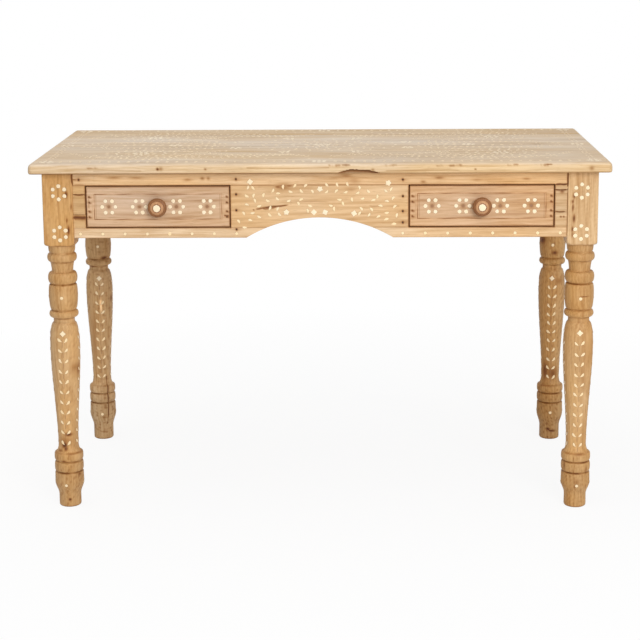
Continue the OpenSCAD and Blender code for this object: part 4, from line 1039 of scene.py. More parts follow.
def make_leg(way, side_name, settings):
    """A turned leg with its square block, as one shell: each ring is a circle below and a square above."""
    name = f"{way}_{side_name}"
    looks = LEGS[name]
    is_front = way == "front"
    lift = 0.0 if is_front else REAR_LIFT
    near_corner = np.array([-2.4, -1.8, -1.2, -0.6, 0.6, 1.2, 1.8, 2.4])
    corners = [45 + 90 * i + near_corner for i in range(4)]
    turns = np.radians(np.unique(np.round(np.concatenate([np.arange(0, 360, 3.75), *corners]), 3)))
    square = square_reach(turns, LEG_R, settings.corner_easing / MM)
    outline = leg_outline(lift)
    rings = [np.full(len(turns), r) for r in outline[:, 0]]
    levels = list(outline[:, 1])
    # The block's shoulders are turned to a cone
    pommel = LEG_R * math.sqrt(2) + 1
    for z in np.concatenate([[0, 0.3, 0.8], np.arange(2, 9, 1.5), np.arange(10, Z_TOP - Z_BLOCK - 1, 2.6)]):
        rings.append(np.minimum(square, pommel - 8 + z * 9 / 8) - 0.6 * soft(z, 0.5))
        levels.append(Z_BLOCK + z)
    rings += [square, square - 0.4]
    radius = np.array(rings)
    height = np.repeat(np.array([*levels, Z_TOP - 0.5, Z_TOP])[:, None], len(turns), 1)
    flat = np.stack([radius * np.cos(turns), radius * np.sin(turns), height], -1).reshape(-1, 3)
    z = flat[:, 2]
    reach = np.hypot(flat[:, 0], flat[:, 1])
    # Direction from the front, in degrees, to the viewer's right
    facing = np.degrees(np.arctan2(flat[:, 0], -flat[:, 1]))

    def leg_spot(angle, level, half_w, half_h):
        around = np.radians((facing - angle + 180) % 360 - 180) * reach
        return spot(around, z, 0, level, half_w, half_h)

    stain_and_shade, depth = np.zeros(len(flat)), np.zeros(len(flat))
    for *place, dark, deep in looks["spots"]:
        lay_both(stain_and_shade, depth, leg_spot(*place), dark, deep)
    for path, width, dark, deep in looks["cracks"]:
        path = [(math.radians(angle) * CRACK_R, level) for angle, level in path]
        lay_both(stain_and_shade, depth, stroke(np.radians(facing) * CRACK_R, z, path, width), dark, deep)
    seed = looks["seed"]
    # Dust and painted shade in the grooves, and under the block's shoulder
    dusty_shaded_grooves = [(level + lift, dark) for level, dark in GROOVE_DUST_AND_SHADE]
    dusty_shaded_grooves += [(545.5 + lift * 0.4, 0.28), (565 + lift * 0.4, 0.2), (Z_BLOCK, 0.2)]
    for level, dark in dusty_shaded_grooves:
        uneven = 0.7 + 0.6 * sway(flat * [1, 1, 0] + [0, 0, level], seed + 3, 24)
        lay(stain_and_shade, dark * uneven * soft(z - level, 2.0))
    lay(stain_and_shade, 0.3 * soft(z, 3))
    # Specks of dirt, most of them low down and on the rear legs
    dirt = 0.10 + 0.12 * np.clip((150 - z) / 60, 0, 1) + (0 if is_front else 0.09)
    lay(stain_and_shade, dirt * np.clip(sway(flat * [1, 1, 0.6], seed + 20, 7) - 0.1, 0, 1))
    middle = [SIDES[side_name] * LEG_X, LEG_Y * (-1 if is_front else 1), 0]
    if is_front:
        on_face = (flat[:, 1] < -LEG_R + 2) & (z > Z_BLOCK)
        face_stain, face_depth = front_marks(flat + [middle[0], 0, 0], [])
        lay(stain_and_shade, face_stain * on_face)
        lay(depth, face_depth * on_face)
    # Turning by hand: slow unevenness up the leg and a trace of out of round
    growth = 0.6 * sway(flat * [0, 0, 1], seed, 60) + 0.4 * sway(flat, seed + 9, 90) - 0.5
    change = settings.wobble / MM * growth * np.clip((Z_BLOCK - z) / 8, 0, 1) - depth
    outward = np.column_stack([flat[:, 0] / reach, flat[:, 1] / reach, np.zeros(len(flat))])
    moved = flat + outward * change[:, None]
    width = np.hypot(moved[:, 0], moved[:, 1])
    moved[:, :2] *= np.where((moved[:, 2] < Z_BLOCK) & (width > LEG_R), LEG_R / width, 1)[:, None]
    points, faces = skin(moved.reshape(*radius.shape, 3))
    block = np.clip((z - Z_BLOCK) / 2, 0, 1)
    upper = np.clip((z - DARK_FROM) / 12, 0, 1) * (1 - block)
    feet = np.clip((DARK_UNDER - z) / 30, 0, 1)
    tone, warmth, block_tone, block_warmth = looks["looks"]
    # The rear legs are painted darker, as the shade that falls on them further back
    tone += 0 if is_front else settings.rear_shade
    tones = np.where(block > 0, block_tone, tone) - 0.06 * upper - 0.085 * feet
    warmths = np.where(block > 0, block_warmth, warmth) + 0.45 * upper
    for streak in looks["streaks"]:
        # A narrow streak is bare and nearly white, a wide one only rubbed
        paler, cooler = (1.25, 2.0) if streak[2] < 4 else (0.09, 0.7)
        near = leg_spot(*streak)
        tones += paler * near
        warmths -= cooler * near
    grain = grain_coordinates(flat, "Z", looks["shift"])
    shell, marks = (points + middle, faces), np.column_stack([tones, stain_and_shade, warmths])
    make_piece(f"turned_leg_{name}", shell, "leg_wood", grain, marks, "frame", f"leg_{name}", 50)


# Long faint scratches on a drawer front: x towards the desk's end, z, half length, darkness
SCRATCHES = [(-110, 12, 40, 0.14), (60, -17, 50, 0.16), (10, 26, 60, 0.12), (-30, -24, 45, 0.16)]


def make_drawer_front(name, settings):
    """A drawer front with its scratched line."""
    side = SIDES[name]
    mid = side * DRAWER_X
    low, high = box_mm(f"drawer_{name}_front")
    half_x, half_z = (high[0] - low[0]) / 2, (high[2] - low[2]) / 2
    width, depth, ease = settings.line_width / MM, settings.line_depth / MM, settings.easing / MM
    line_x, line_z = (half - settings.line_in / MM - width / 2 for half in (half_x, half_z))
    near = np.array([-1.6, -1.1, -0.7, -0.35, 0, 0.35, 0.7, 1.1, 1.6])
    z_low, z_high = low[2] + ease, high[2] - ease
    places = [np.linspace(z_low, z_high, 44), DRAWER_Z + line_z + near, DRAWER_Z - line_z + near]
    up = (np.unique(np.round(np.concatenate(places), 3)) - z_low) / (z_high - z_low)
    extra = np.concatenate([mid + line_x + near, mid - line_x + near])
    shell = eased_board(low, high, ease, 1.9, [up, even(3), even(3), even(3)], None, extra)

    def change(points, marks, start):
        x, z = start[:, 0] - mid, start[:, 2] - DRAWER_Z
        tone, stain_and_shade, warmth = marks.T
        front = at_face(start[:, 1], low[1])
        # The line was scratched freehand, so it wavers
        waver = 0.25 * np.sin(x / 31) + 0.2 * np.sin(x / 13 + 2)
        to_x, to_z = np.abs(x) - line_x, np.abs(z + waver) - line_z
        gap = np.where((to_x < 0) | (to_z < 0), np.abs(np.maximum(to_x, to_z)), np.hypot(to_x, to_z))
        groove = np.clip(1 - (gap / (width * 0.75)) ** 2, 0, 1) * front
        points[:, 1] += depth * groove
        # It is worn away in places, and was scratched twice near the ends
        lay(stain_and_shade, 0.42 * groove * (0.55 + 0.45 * np.sin(x / 9 + 3 * np.sin(z / 17))))
        lay(stain_and_shade, 0.22 * soft(np.abs(to_x) - 3.2, 0.7) * (to_z < 0) * front)
        field = np.clip((-np.maximum(to_x, to_z)) / 2, 0, 1)
        tone += 0.03 - 0.05 * field
        warmth -= 0.3 * field * front
        # Grime and painted shade along the front's edges, at the gap round the drawer
        lay(stain_and_shade, (0.08 + 0.60 * front) * soft(np.minimum(half_x - np.abs(x), half_z - np.abs(z)), 1.2))
        # Rubbed wax gathers in the flowers' hearts
        for cx in FLOWERS_X:
            lay(stain_and_shade, 0.34 * spot(x, z, cx, 0, 5.5, 5.5) * front)
        # The nails at the ends have rusted into the wood
        for cx, _, cz in nail_places(f"drawer_{name}_nails"):
            gap = np.hypot(start[:, 0] - cx, start[:, 2] - cz)
            lay(stain_and_shade, 0.85 * soft(gap, 2.1) * front)
            lay(stain_and_shade, 0.45 * spot(start[:, 0], start[:, 2], cx + 1.5, cz - 1, 4, 2.0) * front)
            points[:, 1] += 0.4 * soft(gap, 2.0) * front
        for cx, cz, reach, dark in SCRATCHES:
            lay(stain_and_shade, dark * spot(x, z, cx * side, cz, reach, 3))

    shift = (2.0, 0.30, -0.69) if side < 0 else (5.5, 0.29, -0.71)
    tone, warmth = (-0.01, -0.4) if side < 0 else (0.01, 0.25)
    node, body = f"drawer_{name}_front", f"drawer_{name}"
    front_piece(f"drawer_face_{name}", shell, shift, tone, warmth, node, change, body, "drawer_wood")


def make_knob(name):
    """A turned knob with a hollow neck, a round rim and a shallow ring cut round its face."""
    mid = SIDES[name] * DRAWER_X
    quarter = np.radians(np.linspace(0, 90, 12))
    outline = [(1.5, 0), (9.5, 0), *swell(0.3, 8.7, 10, 15, -2.5), *swell(9.5, 10.5, 15, 14.5, 5.5, 24)]
    outline += [(16.0, 20.3), (15.2, 20.0), (14.6, 20.4)]
    outline += [(8.2 + 5.9 * math.cos(t), 20.6 + 3.4 * math.sin(t)) for t in quarter]
    outline += [(7.5, KNOB_OUT), (3.0, KNOB_OUT - 0.1)]
    outline = resampled(np.array(outline), 0.55, 0.55, (0, 0))
    turns = np.radians(np.arange(0, 360, 5))
    radius, y = outline[:, :1], FACE_Y - outline[:, 1:] + 0 * turns
    points, faces = skin(np.stack([mid + radius * np.cos(turns), y, DRAWER_Z + radius * np.sin(turns)], -1))
    reach = np.hypot(points[:, 0] - mid, points[:, 2] - DRAWER_Z)
    out = FACE_Y - points[:, 1]
    rim = np.clip((reach - 15.2) / 1.2, 0, 1)
    stain_and_shade = np.maximum(0.5 * soft(reach - 15.2, 0.8) * (out > 15), 0.24 * rim)
    lay(stain_and_shade, 0.6 * soft(reach - 8.2, 0.8) * (out > 20))
    marks = np.column_stack([0.24 - 0.34 * rim, stain_and_shade, -0.5 + 0.4 * rim])
    grain = grain_coordinates(points - [mid, 0, DRAWER_Z], "Z", (1.0 + SIDES[name], 0.008, 0.29))
    body = f"drawer_{name}"
    make_piece(f"knob_{name}_turned", (points, faces), "knob_wood", grain, marks, body, f"{body}_knob")


# ---- Let-in bone and lac, and nails, placed by geometry nodes

FRONT, UP, ONE = (0, -1, 0), (0, 0, 1), (1, 1, 1)
PETALS = ["petal_a", "petal_b", "petal_c"]
# How much yellower a kind of piece is than a petal, and a whole group of pieces than the others
CREAM = {"leaf": 0.6, "spray": 0.55, "diamond": 0.1, "dot": 0.35}
GROUP_CREAM = {"bone_top": -0.3, "bone_rails": 0.3, "bone_legs": 0.2}


def disc_shell(outline, top, crown, bottom):
    """A thin plate from an outline, with a slightly crowned face towards +Z."""
    mean = outline.mean(0)
    loops = [(outline, bottom), (outline, top - crown), (mean + (outline - mean) * 0.86, top)]
    return skin(np.array([np.insert(loop, 2, z, 1) for loop, z in loops]))


def circled(turns, reach):
    return np.stack([reach * np.cos(turns), reach * np.sin(turns)], 1)


def petal_outline(radius, seed, lobes, dent, count=14):
    """A round piece, filed a little uneven."""
    draw = np.random.default_rng(seed)
    turns = np.linspace(0, 2 * math.pi, count, endpoint=False)
    uneven = 1 + dent * np.cos(lobes * turns + draw.uniform(0, 6)) + 0.03 * draw.normal(size=count)
    return circled(turns, radius * uneven)


def leaf_outline(length, width, bow, fullness):
    """A leaf along +X that bends to one side, fuller at its far end when its fullness is over 0."""
    turns = np.linspace(0, 2 * math.pi, 18, endpoint=False)
    x = np.cos(turns)
    y = np.sin(turns) * (1 - 0.35 * np.abs(x)) * (1 + fullness * x)
    return np.stack([x * length / 2, y * width / 2 + bow * (1 - x * x)], 1)


def star_outline(half, points, waist):
    """A star whose hollows lie at a share of its half width."""
    turns = np.linspace(0, 2 * math.pi, points * 2, endpoint=False)
    return circled(turns, np.where(np.arange(points * 2) % 2 == 0, half, half * waist))


def grown(outline, extra):
    """An outline with each point moved away from its middle."""
    away = outline - outline.mean(0)
    return outline.mean(0) + away * (1 + extra / np.maximum(np.linalg.norm(away, axis=1), 1e-6))[:, None]


def inlay_outlines(settings):
    petal, leaf = settings.petal / MM / 2, settings.leaf / MM
    return {
        "petal_a": petal_outline(petal, 1, 4, 0.07),
        "petal_b": petal_outline(petal, 2, 5, 0.05),
        "petal_c": petal_outline(petal, 3, 3, 0.06),
        "leaf_a": leaf_outline(leaf, 5.2, 0.9, 0.3),
        "leaf_b": leaf_outline(leaf * 0.95, 5.0, -0.9, 0.3),
        "spray_a": leaf_outline(leaf * 1.12, 5.2, 1.2, 0.45),
        "spray_b": leaf_outline(leaf * 1.12, 5.2, -1.2, 0.45),
        "star_a": star_outline(6.6, 5, 0.70),
        "star_b": star_outline(6.9, 4, 0.68),
        "diamond": star_outline(6.8, 4, 0.66),
        "dot": petal_outline(3.4, 8, 5, 0.04),
        "button": petal_outline(7.7, 9, 8, 0.0, 8),
    }


# What each place of a piece carries, and the layer's type
PLACE_LAYERS = {"turn": "FLOAT_VECTOR", "size": "FLOAT_VECTOR", "kind": "INT", "cream": "FLOAT"}


def placing_tree():
    """Puts numbered pieces on points, each with the point's own turn and size, a little unevenly."""
    tree = bpy.data.node_groups.new("hand_set_pieces", "GeometryNodeTree")
    kinds = {"Geometry": "Geometry", "Pieces": "Collection", "Size spread": "Float", "Turn spread": "Float"}
    for title, kind in {**kinds, "Seed": "Int", "Material": "Material"}.items():
        tree.interface.new_socket(title, in_out="INPUT", socket_type=f"NodeSocket{kind}")
    tree.interface.new_socket("Geometry", in_out="OUTPUT", socket_type="NodeSocketGeometry")
    given = add(tree, "NodeGroupInput").outputs
    turn, size, kind, cream = (
        add(tree, "GeometryNodeInputNamedAttribute", {"Name": title}, data_type=data_type)
        for title, data_type in PLACE_LAYERS.items()
    )
    smallest = add(tree, "ShaderNodeMath", [1.0, given["Size spread"]], operation="SUBTRACT")
    largest = add(tree, "ShaderNodeMath", [1.0, given["Size spread"]], operation="ADD")
    back = add(tree, "ShaderNodeMath", [given["Turn spread"], -1.0], operation="MULTIPLY")
    spread, own_turn, own_tint = (
        add(tree, "FunctionNodeRandomValue", {**limits, "Seed": given["Seed"]}, data_type="FLOAT").outputs[1]
        for limits in ({2: smallest, 3: largest}, {2: back, 3: given["Turn spread"]}, {3: 0.35})
    )
    pieces = {"Collection": given["Pieces"], "Separate Children": True, "Reset Children": True}
    placing = {
        "Points": given["Geometry"],
        "Instance": add(tree, "GeometryNodeCollectionInfo", pieces),
        "Pick Instance": True,
        "Instance Index": kind,
        "Rotation": add(tree, "FunctionNodeEulerToRotation", [turn]),
        "Scale": add(tree, "ShaderNodeVectorMath", {0: size, "Scale": spread}, operation="SCALE"),
    }
    placed = add(tree, "GeometryNodeInstanceOnPoints", placing)
    about = add(tree, "ShaderNodeCombineXYZ", {"Z": own_turn})
    turning = {"Instances": placed, "Rotation": about, "Local Space": True}
    turned = add(tree, "GeometryNodeRotateInstances", turning)
    tint = add(tree, "ShaderNodeMath", [own_tint, cream], operation="ADD")
    tinting = {"Geometry": turned, "Name": "tint", "Value": tint}
    tinted = add(tree, "GeometryNodeStoreNamedAttribute", tinting, data_type="FLOAT", domain="INSTANCE")
    real = add(tree, "GeometryNodeRealizeInstances", {"Geometry": tinted})
    painted = add(tree, "GeometryNodeSetMaterial", {"Geometry": real, "Material": given["Material"]})
    add(tree, "NodeGroupOutput", {"Geometry": painted})
    return tree


def set_pieces(name, places, shells, material, spread, turn_spread, seed):
    """One plain mesh with a piece at each place. places are (kind, position, matrix, size)."""
    collection = bpy.context.scene.collection
    store = bpy.data.collections.new(name + "_kinds")
    for number, (kind, (points, faces)) in enumerate(shells.items()):
        mesh = bpy.data.meshes.new(f"{number:02d}_{kind}")
        mesh.from_pydata((points * MM).tolist(), [], faces)
        store.objects.link(bpy.data.objects.new(f"{number:02d}_{kind}", mesh))
    kinds, spots, turns, sizes = zip(*places)
    mesh = bpy.data.meshes.new(name)
    mesh.from_pydata([list(np.asarray(p) * MM) for p in spots], [], [])
    group_cream = GROUP_CREAM.get(name, 0.0)
    carried = {
        "turn": [list(turn.to_euler("XYZ")) for turn in turns],
        "size": sizes,
        "kind": [list(shells).index(kind) for kind in kinds],
        "cream": [group_cream + CREAM.get(kind.split("_")[0], 0.0) for kind in kinds],
    }
    for title, data_type in PLACE_LAYERS.items():
        values = np.array(carried[title], np.int32 if data_type == "INT" else np.float32).ravel()
        layer = mesh.attributes.new(title, data_type, "POINT")
        layer.data.foreach_set("vector" if data_type == "FLOAT_VECTOR" else "value", values)
    maker = bpy.data.objects.new(name + "_maker", mesh)
    collection.objects.link(maker)
    modifier = maker.modifiers.new("Set pieces", "NODES")
    modifier.node_group = bpy.data.node_groups.get("hand_set_pieces") or placing_tree()
    values = {"Pieces": store, "Size spread": spread, "Turn spread": turn_spread, "Seed": seed}
    values["Material"] = material
    for item in modifier.node_group.interface.items_tree:
        if item.in_out == "INPUT" and item.name in values:
            modifier[item.identifier] = values[item.name]
    graph = bpy.context.evaluated_depsgraph_get()
    made = bpy.data.meshes.new_from_object(maker.evaluated_get(graph))
    made.name = name
    made.shade_smooth()
    made.set_sharp_from_angle(angle=math.radians(38))
    piece = bpy.data.objects.new(name, made)
    collection.objects.link(piece)
    for helper in (maker, *store.objects):
        bpy.data.objects.remove(helper)
    bpy.data.collections.remove(store)
    made.materials.clear()
    made.materials.append(material)
    made.polygons.foreach_set("material_index", np.zeros(len(made.polygons), np.int32))
    return piece


def facing_matrix(long_way, outward):
    """A turn that brings +X onto the long way and +Z onto the outward direction."""
    z = Vector(outward).normalized()
    x = Vector(long_way)
    x = (x - z * x.dot(z)).normalized()
    return Matrix((x, z.cross(x), z)).transposed()


# How the bone of a front face is told apart: a leaf by its width over its length, a star and a dot by their
# length. Leaves point away from a place just under the arch's crown
LEAF_SLENDER, STAR_LENGTH, DOT_LENGTH, LEAVES_FROM = 0.7, 9, 7.5, (0, 640)


def places_from_node(node, face, seed):
    """Where the CAD puts its bone in a front face, and what kind each piece is."""
    draw = np.random.default_rng(seed)
    places = []
    for solid in sorted(islands(node), key=lambda p: tuple(np.round(p.mean(0), 1))):
        flat = solid[:, [0, 2]]
        centre = (flat.min(0) + flat.max(0)) / 2
        away = flat - centre
        ways = np.linalg.eigh(away.T @ away / len(away))[1]
        width, length = np.ptp(away @ ways[:, 0]), np.ptp(away @ ways[:, 1])
        if width / length < LEAF_SLENDER:
            kind = ["leaf_a", "leaf_b"][int(draw.integers(2))]
            long_way = ways[:, 1] if ways[:, 1] @ (centre - LEAVES_FROM) >= 0 else -ways[:, 1]
        else:
            if length > STAR_LENGTH:
                kind, widest = ["star_a", "star_b"][len(places) % 2], 1.5
            elif length < DOT_LENGTH:
                kind, widest = "dot", 6
            else:
                kind, widest = PETALS[int(draw.integers(3))], 6
            angle = draw.uniform(0, widest)
            long_way = (math.cos(angle), math.sin(angle))
        turn = facing_matrix((long_way[0], 0, long_way[1]), FRONT)
        places.append((kind, (centre[0], face, centre[1]), turn, ONE))
    return places


# Each leg's inlay, in millimetres: barrel dot, diamond, first leaf pair, pitch of the pairs and foot dot,
# how far the leg stands turned to the viewer's right, in degrees, and how far its vine leans that way
LEG_INLAY = {
    (-1, -1): (470, 391.5, 377, 23, 52, -4.7, 2.2),
    (-1, 1): (466.5, 391.5, 368, 22.7, 52, 0, 0),
    (1, -1): (488, 409, 395, 23.3, 67, 5.7, 0),
    (1, 1): (489, 407, 386, 22.7, 70.5, -4.4, 0),
}

# The rows of leaves in a leg's vine, how far a leaf lies beside the stem, and how far stems lie under a row
VINE_ROWS, VINE_HALF, STEM_DROP = 11, 6.1, 10


def on_leg(leg, base, height, sideways, lean, kind, size=ONE):
    """A piece's place on a leg, which is x, y and outline: sideways from a direction and leaning."""
    cx, cy, outline = leg
    radius = leg_radius(height, outline)
    angle = base + sideways / radius
    outward = Vector((math.sin(angle), -math.cos(angle), 0))
    slope = (leg_radius(height + 2, outline) - leg_radius(height - 2, outline)) / 4
    upward = Vector((outward.x * slope, outward.y * slope, 1)).normalized()
    across = Vector((math.cos(angle), math.sin(angle), 0))
    long_way = upward * math.cos(lean) + across * math.sin(lean)
    place = Vector((cx, cy, height)) + outward * radius
    normal = (outward - Vector((0, 0, slope))).normalized()
    return (kind, tuple(place), facing_matrix(long_way, normal), size)


def leg_vine_places():
    """On each side of each leg: a dot on the barrel and one on the foot, a diamond, and a vine below it."""
    places, stems = [], []
    for (way, side), (barrel, diamond, first, pitch, foot, turned, slant) in LEG_INLAY.items():
        leg = (side * LEG_X, way * LEG_Y, leg_outline(0.0 if way < 0 else REAR_LIFT))
        draw = np.random.default_rng(50 + 7 * way + side)
        for quarter in range(4):
            base = math.radians(90 * quarter + turned)
            shift = 0 if quarter == 0 else draw.uniform(-4, 4)
            places.append(on_leg(leg, base, barrel + shift, 1.5 * slant + draw.uniform(-1, 1), 0, "dot"))
            places.append(on_leg(leg, base, foot + shift * 0.5, draw.uniform(-1, 1), 0, "dot"))
            drift = slant + draw.uniform(-1.5, 1.5)
            places.append(on_leg(leg, base, diamond + shift, drift, 0, "diamond"))
            for row in range(VINE_ROWS):
                height = first + shift - row * pitch + draw.uniform(-1, 1)
                middle = drift * (1 - row / VINE_ROWS) + draw.uniform(-0.6, 0.6)
                for hand, kind in ((-1, "spray_a"), (1, "spray_b")):
                    lean = hand * math.radians(draw.uniform(32, 50))
                    reach = draw.uniform(0.92, 1.1)
                    level, sideways = height + draw.uniform(-1, 1), middle + hand * VINE_HALF
                    places.append(on_leg(leg, base, level, sideways, lean, kind, (reach, reach, 1)))
                stems.append(on_leg(leg, base, height - STEM_DROP, middle, 0, "stem"))
    return places, stems


def flat_place(kind, x, y, way, scale=1.0):
    """A piece's place on the top, pointing along a direction in radians."""
    return (kind, (x, y, 0), facing_matrix((math.cos(way), math.sin(way), 0), UP), (scale, scale, 1))


def ring_places(x, y, radius, count, kind, start=0.0, stretch=1.0, lean=0.0, scale=1.0):
    """Pieces in a ring on the top; leaves point outwards, leaning by an angle."""
    places = []
    for i in range(count):
        turn = start + 2 * math.pi * i / count
        out_x, out_y = x + stretch * radius * math.cos(turn), y + radius * math.sin(turn)
        places.append(flat_place(kind, out_x, out_y, turn + lean, scale))
    return places


# How far a leaf lies beside a vine of the top
LEAF_OUT = 6.5


def vine_places(sx, sy, handles, pitch, scale=1.0, spread=34.0):
    """Leaf pairs along a curve on the top, given by three or four handles, each mirrored by sx and sy."""
    shares = np.linspace(0, 1, 60)[:, None]
    order = len(handles) - 1
    curve = sum(
        math.comb(order, i) * shares**i * (1 - shares) ** (order - i) * np.array([sx * x, sy * y], float)
        for i, (x, y) in enumerate(handles)
    )
    along = np.concatenate([[0], np.cumsum(np.hypot(*np.diff(curve, axis=0).T))])
    count = max(1, int(along[-1] / pitch))
    places = []
    for i in range(count):
        at = (i + 0.5) * along[-1] / count
        x, y = (np.interp(at, along, curve[:, j]) for j in (0, 1))
        x2, y2 = (np.interp(at + 2, along, curve[:, j]) for j in (0, 1))
        heading = math.atan2(y2 - y, x2 - x)
        for hand in (-1, 1):
            turn = heading + hand * math.radians(spread)
            out = turn + hand * 0.35
            leaf_x, leaf_y = x + LEAF_OUT * scale * math.cos(out), y + LEAF_OUT * scale * math.sin(out)
            places.append(flat_place(["leaf_a", "leaf_b"][i % 2], leaf_x, leaf_y, turn, scale))
    return places


def flower(x, y, petals, radius, start=0.0, centre=False):
    ring = ring_places(x, y, radius, petals, "petal_a", start)
    places = [(PETALS[i % 3], *rest) for i, (_, *rest) in enumerate(ring)]
    return places + [flat_place("dot", x, y, 0)] * centre


# Vines of a quarter of the top, mirrored to the other three: handles as x and y. The first tie the medallion
# in a corner to the middle, and the others wind through what is left
TYING_VINES = [
    [(232, 64), (292, 44), (330, 104)],
    [(300, 188), (248, 206), (130, 196)],
    [(470, 70), (496, 40), (488, 8)],
    [(478, 160), (506, 176), (498, 206)],
]
WINDING_VINES = [
    [(20, 196), (170, 60), (260, 300), (430, 215)],
    [(210, 30), (300, 4), (350, 96), (540, 20)],
    [(250, 150), (300, 230), (480, 250), (545, 130)],
    [(200, 100), (240, 90), (270, 150), (330, 190)],
    [(60, 150), (120, 215), (230, 150), (300, 100)],
]
CORNERS = [(sx, sy) for sx in (-1, 1) for sy in (-1, 1)]
# How far out the border and a corner medallion lie, and how far the winding vines keep from other pieces
BORDER_X, BORDER_Y, MEDALLION_X, MEDALLION_Y, CLEAR = 575, 270, 392, 138, 11.5


def top_places(face):
    """A common layout: a vine round the edge, a long medallion in the middle and one in each corner."""
    places = []
    # The border, 30 mm in: a vine between flowers
    for side in (-1, 1):
        places += flower(side * BORDER_X, -BORDER_Y, 6, 12) + flower(side * BORDER_X, BORDER_Y, 6, 12)
        places += flower(0, side * BORDER_Y, 6, 12, 0.5) + flower(side * BORDER_X, 0, 6, 12, 0.5)
        for end in (-1, 1):
            long_vine = [(20, BORDER_Y), (280, BORDER_Y + 4), (552, BORDER_Y)]
            places += vine_places(end, side, long_vine, 20, 0.85)
            short_vine = [(BORDER_X, 20), (BORDER_X - 3, 130), (BORDER_X, 250)]
            places += vine_places(end, side, short_vine, 21, 0.8)
    # An inner line of small sprigs, 75 mm in
    for i in range(22):
        for side in (-1, 1):
            places.append(flat_place("leaf_a", -483 + 46 * i, side * 228, 0.6 if i % 2 else -0.6, 0.8))
    # The middle medallion
    places += flower(0, 0, 8, 15, 0.2, True)
    for radius, count, kind, *shape in (
        (31, 14, "leaf_a", 0.1, 1.15),
        (50, 18, "petal_b", 0.0, 1.35, 0, 0.8),
        (69, 26, "leaf_b", 0.05, 1.5, 0.5),
        (86, 26, "leaf_a", 0.17, 1.55, -0.5),
        (104, 22, "dot", 0.0, 1.6),
    ):
        places += ring_places(0, 0, radius, count, kind, *shape)
    for i in range(8):
        angle = math.pi / 8 + i * math.pi / 4
        places += flower(1.62 * 128 * math.cos(angle), 128 * math.sin(angle), 5, 10, angle)
    # A medallion in each corner, tied to the middle by vines
    for sx, sy in CORNERS:
        x, y = sx * MEDALLION_X, sy * MEDALLION_Y
        places += flower(x, y, 8, 14.5, 0.1, True)
        places += ring_places(x, y, 30, 12, "leaf_b", 0.2)
        places += ring_places(x, y, 47, 16, "petal_c", 0.0, 1.15, 0, 0.75)
        places += ring_places(x, y, 63, 22, "leaf_a", 0.1, 1.2, 0.6, 0.95)
        for handles in TYING_VINES:
            places += vine_places(sx, sy, handles, 15, 0.85)
        if sy > 0:
            places += flower(sx * 330, 0, 6, 12, 0.3, True)
            places += vine_places(sx, sx, [(312, 0), (280, 14), (236, 0)], 19)
            places += vine_places(sx, sx, [(350, 0), (400, -22), (452, 0)], 19)
    # Winding vines fill what is left between the medallions, and stop short of every other piece
    for sx, sy in CORNERS:
        taken = np.array([p[:2] for _, p, *_ in places])
        for handles in WINDING_VINES:
            for piece in vine_places(sx, sy, handles, 13, 0.78, 40):
                if np.hypot(*(taken - piece[1][:2]).T).min() > CLEAR:
                    places.append(piece)
    draw = np.random.default_rng(5)
    return [
        (kind, (x + draw.normal(0, 0.5), y + draw.normal(0, 0.5), face), turn, size)
        for kind, (x, y, _), turn, size in places
    ]


# Half the length and half the width of a piece of stem on a leg, which is a scratch filled with lac
STEM_HALVES = (5.5, 0.35)


def make_inlay(settings):
    """The bone in the legs, rails, panel, drawers, knobs and top, each piece in its bed of lac."""
    stand, rim = settings.stand / MM, settings.lac_rim / MM
    outlines = inlay_outlines(settings)
    # The numbers are how high a plate's face stands, how far its edge falls off, and where its back lies
    bone_shells = {kind: disc_shell(line, stand, 0.12, -1.35) for kind, line in outlines.items()}
    lac_shells = {kind: disc_shell(grown(line, rim), 0.09, 0.03, -1.2) for kind, line in outlines.items()}
    stem = np.array([(-1, -1), (1, -1), (1, 1), (-1, 1)]) * STEM_HALVES
    lac_shells["stem"] = disc_shell(stem, 0.07, 0.02, -0.5)
    lac_shells["eye"] = disc_shell(petal_outline(3.3, 12, 4, 0.07), 0.07, 0.03, -0.8)

    spreads = (0.05, 0.08, settings.seed)

    def add_group(name, body, places, beds, *nodes):
        pieces = set_pieces(f"bone_{name}", places, bone_shells, finish("bone"), *spreads)
        place_piece(pieces, body, "bone", *nodes)
        pieces = set_pieces(f"lac_{name}", places + beds, lac_shells, finish("lac"), *spreads)
        place_piece(pieces, body, None)

    # The pieces are set from just under the flat face
    face = FACE_Y + 0.1
    vines, stems = leg_vine_places()
    add_group("legs", "frame", places_from_node("leg_inlay", BLOCK_FACE_Y, 3) + vines, stems, "leg_inlay")
    add_group("rails", "frame", places_from_node("rail_inlay", face, 4), [], "rail_inlay")
    add_group("panel", "frame", places_from_node("panel_inlay", face, 5), [], "panel_inlay")
    add_group("top", "frame", top_places(CAD_BOX[1].z / MM - 0.2), [])
    ahead = facing_matrix((1, 0, 0), FRONT)
    for name, side in SIDES.items():
        body = f"drawer_{name}"
        button = ("button", (side * DRAWER_X, FACE_Y - KNOB_OUT, DRAWER_Z), ahead, ONE)
        places = places_from_node(f"{body}_inlay", face, 6) + [button]
        hearts = [("eye", (side * DRAWER_X + x, face, DRAWER_Z), ahead, ONE) for x in FLOWERS_X]
        add_group(body, body, places, hearts, f"{body}_inlay", f"{body}_knob_button")


def nail_shell(head_r, head_h, body_r, length, seed):
    """A nail that points to -Z, its head's face at the origin, hammered a little out of round."""
    uneven = 1 + 0.07 * np.random.default_rng(seed).normal(size=12)
    turns = np.linspace(0, 2 * math.pi, 12, endpoint=False)
    levels = [(body_r * 0.3, -length), (body_r, -length + 3), (body_r, -head_h - 0.6)]
    levels += [(head_r * 0.9, -head_h), (head_r, -head_h * 0.5), (head_r * 0.75, -0.12), (head_r * 0.3, 0)]
    return skin(np.array([np.insert(circled(turns, r * uneven), 2, z, 1) for r, z in levels]))


# How deep a nail's head lies under the surface
NAIL_SUNK = 0.45


